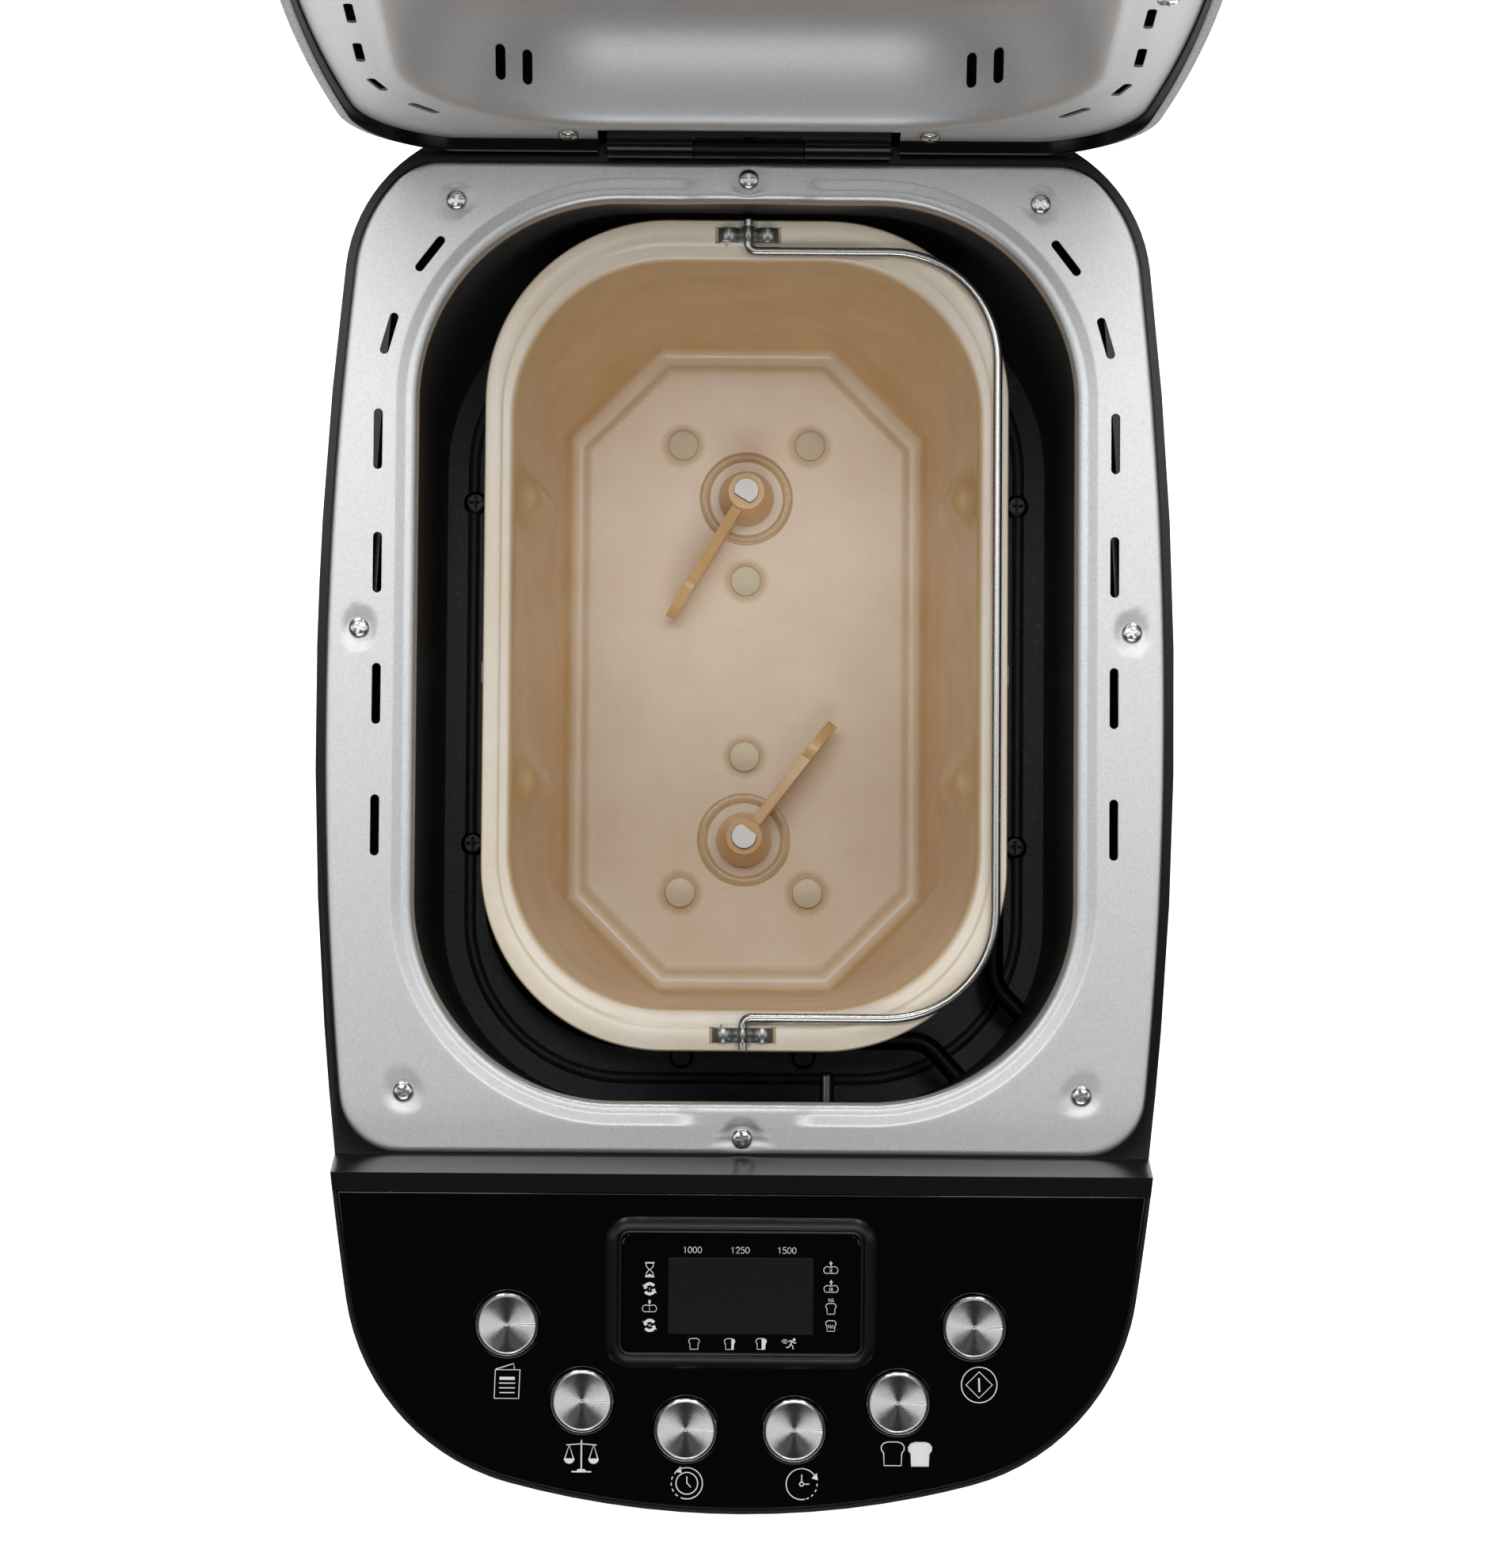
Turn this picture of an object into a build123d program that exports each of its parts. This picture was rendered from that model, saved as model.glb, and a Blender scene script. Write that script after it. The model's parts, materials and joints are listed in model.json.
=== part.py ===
from build123d import *
from math import cos, radians, sin, tan
import os

os.makedirs("parts", exist_ok=True)

# ---------------------------------------------------------------------------
# Driving dimensions, in millimetres and degrees. Plan positions are measured
# from the middle of the baking chamber's mouth: x to the right, y to the back.
# Heights are measured from the surface that the machine stands on.
# ---------------------------------------------------------------------------

CHAMBER_Y = 18.0  # puts the open machine's middle, front to back, on the origin

# Body seen from above: front arc, front corner, bulging side, back corner
FRONT_Y = -265.5
FRONT_ARC_END = (70.3, -256.3)
CORNER_END = (120.0, -200.5)
SIDE_END = (125.4, 119.5)
BACK_CORNER_END = (75.5, 164.0)
BACK_Y = BACK_CORNER_END[1]
REACH = 320.0  # longer than the body, for cuts that pass right through

# Levels
FOOT_H = 6.0
SHELL_BOTTOM_Z = 14.0
SHELL_SIDE_TOP_Z = 227.0
DECK_Z = 240.0
RIM_TOP_Z = 240.3
PANEL_Z = 265.0
SHELL_WALL = 1.2

# Deck plate and its fixings
DECK_BACK_Y = 152.4
DECK_FRONT_Y = -156.5
DECK_INSET = 2.7
DECK_T = 0.8
DECK_FRONT_R = 19.0
DECK_BACK_R = 20.0
MOUTH = (205.0, 281.0)
MOUTH_R = 63.0
LIP_H = 11.0
SLOT_W = 2.8
SLOT_LONG = 19.0
SLOT_SHORT = 13.4
# x, y, length and lean from the x axis of the slots on the right-hand side
DECK_SLOTS = [
    (99.2, 123.2, SLOT_SHORT, 127.5),
    (111.7, 98.1, SLOT_SHORT, 106.0),
    (114.8, 65.0, SLOT_LONG, 90.0),
    (114.6, 26.4, SLOT_LONG, 90.0),
    (114.5, -14.5, SLOT_LONG, 90.0),
    (114.5, -55.4, SLOT_LONG, 90.0),
]
DECK_SCREWS = [
    (0.0, 147.2),
    (91.2, 140.1),
    (-91.2, 140.1),
    (120.0, 6.0),
    (-120.0, 6.0),
    (104.7, -137.7),
    (-104.7, -137.7),
    (0.0, -151.4),
]

# Baking chamber
CHAMBER_WALL = 0.8
CHAMBER_FLOOR_Z = 62.0
CHAMBER_TOP_Z = 238.0
CHAMBER = (MOUTH[0] + 2.6, MOUTH[1] + 2.6)
CHAMBER_R = MOUTH_R + 1.3
FLANGE_W = 3.0
FLOOR_SCREWS = [(93.5, 66.0), (-93.5, 66.0), (93.3, -52.0), (-93.3, -52.0), (21.0, -124.6), (-21.0, -124.6)]
HEATER_R = 3.25
HEATER_Z = 85.0
HEATER_CLAMPS = [(-85.0, 5.0), (85.0, 5.0), (0.0, 126.0)]

# Bread pan
PAN_Y = 7.0
PAN_RIM = (165.4, 263.0)
PAN_RIM_R = 58.0
PAN_MOUTH = (148.0, 237.0)
PAN_MOUTH_R = 50.0
PAN_FLOOR = (121.0, 221.0)
PAN_FLOOR_R = 36.0
PAN_PAD = (108.6, 206.0)
PAN_PAD_CORNER = 28.0
PAN_PAD_H = 0.8
PAN_WALL = 1.5
PAN_RIM_Z = 218.0
PAN_FLOOR_Z = 86.0
SHAFT_SPACING = 116.4
SHAFT_R = 4.0
RUNNING_CLEARANCE = 0.05
SHAFT_TOP_Z = 111.0
RIVET_R = 5.1
RIVET_CIRCLE_R = 28.2
RIVET_ANGLES = (40.0, 140.0, 270.0)
BAIL_R = 1.5
BAIL_SPAN = 79.0
BAIL_PIVOT_Z = 219.9
BAIL_END_Y = 118.0
PADDLE_REACH = 49.0

# Lid
HINGE_Y = 157.0
HINGE_Z = 245.0
LID_OPEN = 95.0
LID_BACK_Y = 160.2
LID_BACK_R = 20.0
LID_FRONT_Y = -155.3
LID_FRONT_R = 16.0
LID_BOTTOM_Z = 242.6
LINER_Z = 246.5
LID_TOP_Z = 292.0
LID_EDGE_R = 24.0
LID_WALL = 2.4
PIN_R = 1.8
KNUCKLE_R = 4.0
WINDOW = (96.0, 118.0)
WINDOW_Y = -20.0

# Control panel
PANEL_BACK_Y = -168.2
PANEL_TILT = 5.0
PANEL_T = 3.0
PANEL_INSET = 1.5
BUTTON_R = 9.65
BUTTON_HOLE_R = 10.1
BUTTON_TRAVEL = 1.2
BUTTONS = {
    "menu": (-70.9, -208.1),
    "weight": (-48.0, -231.2),
    "time_down": (-16.5, -239.7),
    "time_up": (16.5, -239.7),
    "crust": (48.0, -231.2),
    "start": (70.9, -208.1),
}
BEZEL = (82.4, 45.8)
BEZEL_Y = -198.2
LENS = (72.6, 36.0)

# Drive under the chamber
MOTOR_Y = -212.0
MOTOR_R = 38.0
BIG_PULLEY_R = 44.0
SMALL_PULLEY_R = 24.0
MOTOR_PULLEY_R = 10.0
BELT_GAP = 0.3
BELT_T = 1.8
BELT_W = 7.0
MOTOR_BELT_Z = 20.0
DRIVE_BELT_Z = 31.0

REAR_SHAFT_Y = PAN_Y + SHAFT_SPACING / 2
FRONT_SHAFT_Y = PAN_Y - SHAFT_SPACING / 2
SHAFTS = {"rear": REAR_SHAFT_Y, "front": FRONT_SHAFT_Y}


# ---------------------------------------------------------------------------
# Planes and outlines
# ---------------------------------------------------------------------------


def level(z):
    """The plan at height z, centred on the chamber's mouth."""
    return Plane(origin=(0, CHAMBER_Y, z))


def lid_level(z):
    """The plan at height z of the closed lid, turned up with the open lid."""
    hinge = Location((0, CHAMBER_Y + HINGE_Y, HINGE_Z), (-LID_OPEN, 0, 0))
    return Plane(hinge * Location((0, -HINGE_Y, z - HINGE_Z)))


def panel_level(height):
    """The sloping plane that lies height above the control panel's face."""
    face = Location((0, CHAMBER_Y + PANEL_BACK_Y, PANEL_Z), (PANEL_TILT, 0, 0))
    return Plane(face * Location((0, 0, height)))


def panel_place(x, y):
    """A plan position measured along the sloping panel from its back edge."""
    return (x, (y - PANEL_BACK_Y) / cos(radians(PANEL_TILT)))


def panel_z(y):
    """Height of the panel's face at plan position y."""
    return PANEL_Z + (y - PANEL_BACK_Y) * tan(radians(PANEL_TILT))


SIDE = Plane(origin=(0, CHAMBER_Y, 0), x_dir=(0, 1, 0), z_dir=(1, 0, 0))
LID_UP = Axis((0, 0, 0), lid_level(0).z_dir)


def body_outline(inset, back_y, front_y):
    """The body from above, moved in by inset and cut between back_y and front_y."""
    with BuildSketch() as outline:
        with BuildLine():
            front = ThreePointArc((0, FRONT_Y), (35.6, FRONT_Y + 2.33), FRONT_ARC_END)
            corner = TangentArc(front @ 1, CORNER_END, tangent=front % 1)
            side = TangentArc(corner @ 1, SIDE_END, tangent=corner % 1)
            TangentArc(side @ 1, BACK_CORNER_END, tangent=side % 1)
            Line(BACK_CORNER_END, (0, BACK_Y))
            mirror(about=Plane.YZ)
        make_face()
        if inset:
            offset(amount=-inset)
        with Locations((0, (back_y + front_y) / 2)):
            Rectangle(REACH, back_y - front_y, mode=Mode.INTERSECT)
    return outline.sketch


def deck_outline(inset):
    """The deck plate from above, with its corners rounded."""
    with BuildSketch() as outline:
        add(body_sections["deck"])
        fillet(outline.vertices().group_by(Axis.Y)[0], radius=DECK_FRONT_R)
        fillet(outline.vertices().group_by(Axis.Y)[-1], radius=DECK_BACK_R)
        if inset:
            offset(amount=-inset)
    return outline.sketch


def lid_outline(inset):
    """The lid from above when it is closed, with its corners rounded."""
    with BuildSketch() as outline:
        add(body_sections["lid"])
        fillet(outline.vertices().group_by(Axis.Y)[0], radius=LID_FRONT_R)
        fillet(outline.vertices().group_by(Axis.Y)[-1], radius=LID_BACK_R)
        if inset:
            offset(amount=-inset)
    return outline.sketch


body_sections = {
    "whole": body_outline(0, BACK_Y, FRONT_Y),
    "deck": body_outline(DECK_INSET, DECK_BACK_Y, DECK_FRONT_Y),
    "lid": body_outline(0.2, LID_BACK_Y, LID_FRONT_Y),
    "shell_inside": body_outline(SHELL_WALL, BACK_Y, FRONT_Y),
    "base": body_outline(SHELL_WALL + 0.4, BACK_Y, FRONT_Y),
    "base_inside": body_outline(SHELL_WALL + 3.0, BACK_Y, FRONT_Y),
    "top": body_outline(0, BACK_Y, PANEL_BACK_Y + 0.1),
    "panel": body_outline(PANEL_INSET, PANEL_BACK_Y - 0.1, FRONT_Y),
}


def mirrored(places):
    """Right-hand places followed by their left-hand twins, with leans reversed."""
    twins = [(-x, y, length, 180 - lean) for x, y, length, lean in places]
    return places + twins


def cross_screw(head_r, head_h, shank_r, shank_l):
    """A pan-head screw with a cross recess; its head sits on z = 0."""
    with BuildPart() as screw:
        with BuildSketch():
            Circle(head_r)
        extrude(amount=head_h)
        fillet(screw.edges().sort_by(Axis.Z)[-1], radius=head_h * 0.7)
        with BuildSketch(Plane.XY.offset(head_h)):
            Rectangle(head_r * 1.1, head_r * 0.26)
            Rectangle(head_r * 0.26, head_r * 1.1)
        extrude(amount=-head_h * 0.6, mode=Mode.SUBTRACT)
        with BuildSketch():
            Circle(shank_r)
        extrude(amount=-shank_l)
    return screw.part


# ---------------------------------------------------------------------------
# Base and outer casing
# ---------------------------------------------------------------------------

FEET = [(92, 105), (-92, 105), (84, -185), (-84, -185)]
MOTOR_POSTS = [(48, -180), (-48, -180), (48, -240), (-48, -240)]
BASE_Z = FOOT_H
BASE_FLOOR_T = 2.5
BASE_RIM_TOP_Z = 26.0
MOTOR_PLATE_Z = 42.0
BASE_SCREWS = [(112, 40), (-112, 40), (112, -100), (-112, -100), (40, 150), (-40, 150)]

with BuildPart() as base_plate:
    with BuildSketch(level(BASE_Z)):
        add(body_sections["base"])
    extrude(amount=BASE_RIM_TOP_Z - BASE_Z)
    with BuildSketch(level(BASE_Z + BASE_FLOOR_T)):
        add(body_sections["base_inside"])
    extrude(amount=BASE_RIM_TOP_Z, mode=Mode.SUBTRACT)
    with BuildSketch(level(BASE_Z)):
        with Locations(*MOTOR_POSTS):
            Circle(5)
    extrude(amount=MOTOR_PLATE_Z - BASE_Z)
    with BuildSketch(level(BASE_Z)):
        with GridLocations(11, 46, 9, 3):
            SlotOverall(30, 4, rotation=90)
        with Locations(*BASE_SCREWS):
            Circle(1.55)
    extrude(amount=BASE_FLOOR_T, mode=Mode.SUBTRACT)
base_plate.part.label = "base_plate"
export_step(base_plate.part, "parts/base_plate.step")

with BuildPart() as rubber_feet:
    with BuildSketch(level(0)):
        with Locations(*FEET):
            Circle(11)
    extrude(amount=FOOT_H, taper=-4)
rubber_feet.part.label = "rubber_feet"
export_step(rubber_feet.part, "parts/rubber_feet.step")

base_screw = cross_screw(3.4, 2.2, 1.5, 9)
with BuildPart() as base_screws:
    with Locations(*[level(BASE_Z) * Location((x, y, 0), (180, 0, 0)) for x, y in BASE_SCREWS]):
        add(base_screw)
base_screws.part.label = "base_screws"
export_step(base_screws.part, "parts/base_screws.step")

SHOULDER_Y = -160.0
PANEL_SHOULDER_Y = -166.6
VENT_ROWS = 4

with BuildPart() as outer_shell:
    with BuildSketch(level(SHELL_BOTTOM_Z)):
        add(body_sections["whole"])
    extrude(amount=PANEL_Z - SHELL_BOTTOM_Z)
    with BuildSketch(level(SHELL_BOTTOM_Z)):
        add(body_sections["shell_inside"])
    extrude(amount=PANEL_Z - SHELL_BOTTOM_Z, mode=Mode.SUBTRACT)
    with BuildSketch(SIDE):
        with BuildLine():
            Polyline(
                (BACK_Y + 1, SHELL_BOTTOM_Z),
                (BACK_Y + 1, SHELL_SIDE_TOP_Z),
                (SHOULDER_Y, SHELL_SIDE_TOP_Z),
                (PANEL_SHOULDER_Y, panel_z(PANEL_SHOULDER_Y) - 0.6),
                (FRONT_Y - 1, panel_z(FRONT_Y - 1) - 0.6),
                (FRONT_Y - 1, SHELL_BOTTOM_Z),
                close=True,
            )
        make_face()
    extrude(amount=REACH, both=True, mode=Mode.INTERSECT)
    with BuildSketch(Plane(origin=(0, CHAMBER_Y + BACK_Y, 120), x_dir=(-1, 0, 0), z_dir=(0, 1, 0))):
        with GridLocations(12, 14, 8, VENT_ROWS):
            SlotOverall(9, 3)
    extrude(amount=8, both=True, mode=Mode.SUBTRACT)
    with BuildSketch(Plane(origin=(-50, CHAMBER_Y + BACK_Y, 45), x_dir=(-1, 0, 0), z_dir=(0, 1, 0))):
        Circle(8)
    extrude(amount=8, both=True, mode=Mode.SUBTRACT)
outer_shell.part.label = "outer_shell"
export_step(outer_shell.part, "parts/outer_shell.step")

with BuildPart() as cord_gland:
    with BuildSketch(Plane(origin=(-50, CHAMBER_Y + BACK_Y, 45), x_dir=(-1, 0, 0), z_dir=(0, 1, 0))):
        Circle(11)
        Circle(3.6, mode=Mode.SUBTRACT)
    extrude(amount=4)
    with BuildSketch(Plane(origin=(-50, CHAMBER_Y + BACK_Y - 10, 45), x_dir=(-1, 0, 0), z_dir=(0, 1, 0))):
        Circle(7.9)
        Circle(3.6, mode=Mode.SUBTRACT)
    extrude(amount=10)
cord_gland.part.label = "cord_gland"
export_step(cord_gland.part, "parts/cord_gland.step")

FRAME_WALL_BACK_Y = -157.0
LEDGE_BACK_Y = -162.4
LEDGE_FRONT_Y = PANEL_BACK_Y + 0.1
FRAME_SKIRT_Z = 227.0
FRAME_WIDTH = 13.0
FRAME_SEAT_Z = DECK_Z - DECK_T

with BuildPart() as top_frame:
    with BuildSketch(level(FRAME_SKIRT_Z)):
        add(body_sections["top"])
    extrude(amount=PANEL_Z - FRAME_SKIRT_Z)
    with BuildSketch(SIDE):
        with BuildLine():
            Polyline(
                (BACK_Y + 1, FRAME_SKIRT_Z - 1),
                (BACK_Y + 1, RIM_TOP_Z),
                (FRAME_WALL_BACK_Y, RIM_TOP_Z),
                (LEDGE_BACK_Y, PANEL_Z),
                (LEDGE_FRONT_Y, PANEL_Z),
                (LEDGE_FRONT_Y, PANEL_Z - 12),
                (SHOULDER_Y - 0.4, FRAME_SKIRT_Z),
                (SHOULDER_Y - 0.4, FRAME_SKIRT_Z - 1),
                close=True,
            )
        make_face()
    extrude(amount=REACH, both=True, mode=Mode.INTERSECT)
    with BuildSketch(level(FRAME_SEAT_Z)):
        add(deck_outline(-0.15))
    extrude(amount=DECK_T + 4, mode=Mode.SUBTRACT)
    with BuildSketch(level(FRAME_SKIRT_Z - 1)):
        add(deck_outline(FRAME_WIDTH))
        RectangleRounded(CHAMBER[0] + 2 * FLANGE_W + 1, CHAMBER[1] + 2 * FLANGE_W + 1, CHAMBER_R + FLANGE_W)
    extrude(amount=30, mode=Mode.SUBTRACT)
    with BuildSketch(level(FRAME_SEAT_Z)):
        with Locations(*DECK_SCREWS):
            Circle(1.55)
    extrude(amount=-11, mode=Mode.SUBTRACT)
    add(outer_shell.part, mode=Mode.SUBTRACT)
top_frame.part.label = "top_frame"
export_step(top_frame.part, "parts/top_frame.step")

with BuildPart() as deck_plate:
    with BuildSketch(level(DECK_Z - DECK_T)):
        add(deck_outline(0))
        RectangleRounded(*MOUTH, MOUTH_R, mode=Mode.SUBTRACT)
        with Locations(*DECK_SCREWS):
            Circle(1.7, mode=Mode.SUBTRACT)
        for x, y, length, lean in mirrored(DECK_SLOTS):
            with Locations((x, y)):
                SlotOverall(length, SLOT_W, rotation=lean, mode=Mode.SUBTRACT)
    extrude(amount=DECK_T)
    with BuildSketch(level(DECK_Z)):
        RectangleRounded(*MOUTH, MOUTH_R)
        offset(amount=-DECK_T, mode=Mode.SUBTRACT)
    extrude(amount=-LIP_H)
deck_plate.part.label = "deck_plate"
export_step(deck_plate.part, "parts/deck_plate.step")

deck_screw = cross_screw(3.2, 1.6, 1.5, 9)
with BuildPart() as deck_screws:
    with Locations(*[level(DECK_Z) * Location((x, y, 0)) for x, y in DECK_SCREWS]):
        add(deck_screw)
deck_screws.part.label = "deck_screws"
export_step(deck_screws.part, "parts/deck_screws.step")

# ---------------------------------------------------------------------------
# Baking chamber, heater and sensor
# ---------------------------------------------------------------------------

LEG_A = (97.5, -113.0)
LEG_B = (75.0, -133.5)
SENSOR_X = 28.5
SENSOR_Z = 96.0

with BuildPart() as baking_chamber:
    with BuildSketch(level(CHAMBER_FLOOR_Z - CHAMBER_WALL)):
        RectangleRounded(*CHAMBER, CHAMBER_R)
    extrude(amount=CHAMBER_TOP_Z - CHAMBER_FLOOR_Z + CHAMBER_WALL)
    with BuildSketch(level(CHAMBER_FLOOR_Z)):
        RectangleRounded(CHAMBER[0] - 2 * CHAMBER_WALL, CHAMBER[1] - 2 * CHAMBER_WALL, CHAMBER_R - CHAMBER_WALL)
    extrude(amount=CHAMBER_TOP_Z, mode=Mode.SUBTRACT)
    with BuildSketch(level(CHAMBER_TOP_Z - CHAMBER_WALL)):
        RectangleRounded(CHAMBER[0] + 2 * FLANGE_W, CHAMBER[1] + 2 * FLANGE_W, CHAMBER_R + FLANGE_W)
        RectangleRounded(CHAMBER[0] - 2 * CHAMBER_WALL, CHAMBER[1] - 2 * CHAMBER_WALL, CHAMBER_R - CHAMBER_WALL,
                         mode=Mode.SUBTRACT)
    extrude(amount=CHAMBER_WALL)
    with BuildSketch(level(CHAMBER_FLOOR_Z - 2)):
        with Locations((0, REAR_SHAFT_Y), (0, FRONT_SHAFT_Y)):
            Circle(8.1)
        with Locations(*FLOOR_SCREWS):
            Circle(1.6)
    extrude(amount=4, mode=Mode.SUBTRACT)
    with BuildSketch(Plane(origin=(0, CHAMBER_Y - CHAMBER[1] / 2, 0), x_dir=(1, 0, 0), z_dir=(0, -1, 0))):
        with Locations((SENSOR_X, SENSOR_Z)):
            Circle(2.6)
    extrude(amount=4, both=True, mode=Mode.SUBTRACT)
    for leg, corner in ((LEG_A, (85.0, -100.0)), (LEG_B, (62.0, -119.0))):
        run = Vector(leg[0] - corner[0], leg[1] - corner[1], 0)
        with BuildSketch(Plane(origin=(corner[0], CHAMBER_Y + corner[1], HEATER_Z), z_dir=run)):
            Circle(HEATER_R + 0.4)
        extrude(amount=30, mode=Mode.SUBTRACT)
baking_chamber.part.label = "baking_chamber"
export_step(baking_chamber.part, "parts/baking_chamber.step")

SEAT_IN_R = 30.8
SEAT_OUT_R = 34.0
SEAT_TOP_Z = 69.0

with BuildPart() as pan_seats:
    with BuildSketch(level(CHAMBER_FLOOR_Z)):
        with Locations((0, REAR_SHAFT_Y), (0, FRONT_SHAFT_Y)):
            Circle(SEAT_OUT_R)
            Circle(SEAT_IN_R, mode=Mode.SUBTRACT)
    extrude(amount=SEAT_TOP_Z - CHAMBER_FLOOR_Z)
pan_seats.part.label = "pan_seats"
export_step(pan_seats.part, "parts/pan_seats.step")

floor_screw = cross_screw(4.1, 2.2, 1.5, 7)
with BuildPart() as chamber_screws:
    with Locations(*[level(CHAMBER_FLOOR_Z) * Location((x, y, 0)) for x, y in FLOOR_SCREWS]):
        add(floor_screw)
chamber_screws.part.label = "chamber_screws"
export_step(chamber_screws.part, "parts/chamber_screws.step")

with BuildPart() as heating_element:
    with BuildLine(level(HEATER_Z)) as heater_path:
        FilletPolyline(
            (LEG_A, (85.0, -100.0), (85.0, 126.0), (-85.0, 126.0), (-85.0, -119.0), (62.0, -119.0), LEG_B),
            radius=[12, 50, 50, 50, 12],
        )
    with BuildSketch(Plane(origin=heater_path.line @ 0, z_dir=heater_path.line % 0)):
        Circle(HEATER_R)
    sweep(path=heater_path.line)
heating_element.part.label = "heating_element"
export_step(heating_element.part, "parts/heating_element.step")

with BuildPart() as heater_clamps:
    with BuildSketch(level(CHAMBER_FLOOR_Z)):
        with Locations(HEATER_CLAMPS[0], HEATER_CLAMPS[1]):
            Rectangle(9, 7)
        with Locations(HEATER_CLAMPS[2]):
            Rectangle(7, 9)
    extrude(amount=HEATER_Z + 5 - CHAMBER_FLOOR_Z)
    for x in (HEATER_CLAMPS[0][0], HEATER_CLAMPS[1][0]):
        with BuildSketch(Plane(origin=(x, CHAMBER_Y, HEATER_Z), z_dir=(0, 1, 0))):
            Circle(HEATER_R + RUNNING_CLEARANCE)
        extrude(amount=20, both=True, mode=Mode.SUBTRACT)
    with BuildSketch(Plane(origin=(0, CHAMBER_Y + HEATER_CLAMPS[2][1], HEATER_Z), z_dir=(1, 0, 0))):
        Circle(HEATER_R + RUNNING_CLEARANCE)
    extrude(amount=20, both=True, mode=Mode.SUBTRACT)
heater_clamps.part.label = "heater_clamps"
export_step(heater_clamps.part, "parts/heater_clamps.step")

with BuildPart() as temperature_sensor:
    with BuildSketch(Plane(origin=(SENSOR_X, CHAMBER_Y - CHAMBER[1] / 2 - 8, SENSOR_Z), z_dir=(0, 1, 0))):
        Circle(2.5)
    extrude(amount=20)
    fillet(temperature_sensor.edges().sort_by(Axis.Y)[-1], radius=1.6)
    with BuildSketch(Plane(origin=(SENSOR_X, CHAMBER_Y - CHAMBER[1] / 2 - 3, SENSOR_Z), z_dir=(0, 1, 0))):
        Rectangle(14, 9)
    extrude(amount=2.6)
temperature_sensor.part.label = "temperature_sensor"
export_step(temperature_sensor.part, "parts/temperature_sensor.step")

# ---------------------------------------------------------------------------
# Bread pan, its handle and its paddles
# ---------------------------------------------------------------------------

BRACKET_Y = 125.0
BRACKET = (19.0, 6.6)
EAR_T = 1.2
ARM_Y = 121.0
BAIL_TIP_Y = 131.0
CUP_R = 30.2
CUP_WALL = 2.0
CUP_BOTTOM_Z = CHAMBER_FLOOR_Z + 0.3
LOBE_R = 34.5
RIVET_L = 5.0
BUSH_R = 8.0
BUSH_TOP_Z = 88.0
BUSH_BOTTOM_Z = 77.0


def pan_level(z):
    """The plan at height z, centred on the bread pan."""
    return Plane(origin=(0, CHAMBER_Y + PAN_Y, z))


def rivet_places():
    """Three rivets round each shaft, the odd one towards the pan's middle."""
    places = []
    for side in (1, -1):
        for angle in RIVET_ANGLES:
            x = RIVET_CIRCLE_R * cos(radians(angle))
            y = SHAFT_SPACING / 2 + RIVET_CIRCLE_R * sin(radians(angle))
            places.append((x, side * y))
    return places


SHAFT_PLACES = [(0, SHAFT_SPACING / 2), (0, -SHAFT_SPACING / 2)]

with BuildPart() as bread_pan:
    with BuildSketch(pan_level(PAN_FLOOR_Z - PAN_WALL)):
        RectangleRounded(PAN_FLOOR[0] + 2 * PAN_WALL, PAN_FLOOR[1] + 2 * PAN_WALL, PAN_FLOOR_R)
    with BuildSketch(pan_level(PAN_RIM_Z)):
        RectangleRounded(PAN_MOUTH[0] + 2 * PAN_WALL, PAN_MOUTH[1] + 2 * PAN_WALL, PAN_MOUTH_R)
    loft()
    with BuildSketch(pan_level(PAN_RIM_Z)):
        RectangleRounded(*PAN_RIM, PAN_RIM_R)
    extrude(amount=-6)
    with BuildSketch(pan_level(PAN_RIM_Z - PAN_WALL)):
        RectangleRounded(PAN_RIM[0] - 2 * PAN_WALL, PAN_RIM[1] - 2 * PAN_WALL, PAN_RIM_R - PAN_WALL)
        RectangleRounded(PAN_MOUTH[0] + 2 * PAN_WALL, PAN_MOUTH[1] + 2 * PAN_WALL, PAN_MOUTH_R, mode=Mode.SUBTRACT)
    extrude(amount=-6, mode=Mode.SUBTRACT)
    with BuildSketch(pan_level(PAN_FLOOR_Z)):
        RectangleRounded(*PAN_FLOOR, PAN_FLOOR_R - PAN_WALL)
    with BuildSketch(pan_level(PAN_RIM_Z + 0.5)):
        RectangleRounded(*PAN_MOUTH, PAN_MOUTH_R - PAN_WALL)
    loft(mode=Mode.SUBTRACT)
    with BuildSketch(pan_level(PAN_FLOOR_Z - PAN_WALL / 2)):
        pad = Rectangle(*PAN_PAD)
        chamfer(pad.vertices(), length=PAN_PAD_CORNER)
    extrude(amount=PAN_WALL / 2 + PAN_PAD_H)
    with BuildSketch(pan_level(PAN_FLOOR_Z + 4)):
        with Locations(*SHAFT_PLACES):
            Circle(BUSH_R)
        with Locations(*rivet_places()):
            Circle(2.05)
    extrude(amount=-10, mode=Mode.SUBTRACT)
    with BuildSketch(pan_level(PAN_RIM_Z + 1)):
        with Locations((0, BRACKET_Y), (0, -BRACKET_Y)):
            Rectangle(BRACKET[0] + 0.6, BRACKET[1] + 0.6)
    extrude(amount=-3, mode=Mode.SUBTRACT)
bread_pan.part.label = "bread_pan"
export_step(bread_pan.part, "parts/bread_pan.step")

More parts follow.
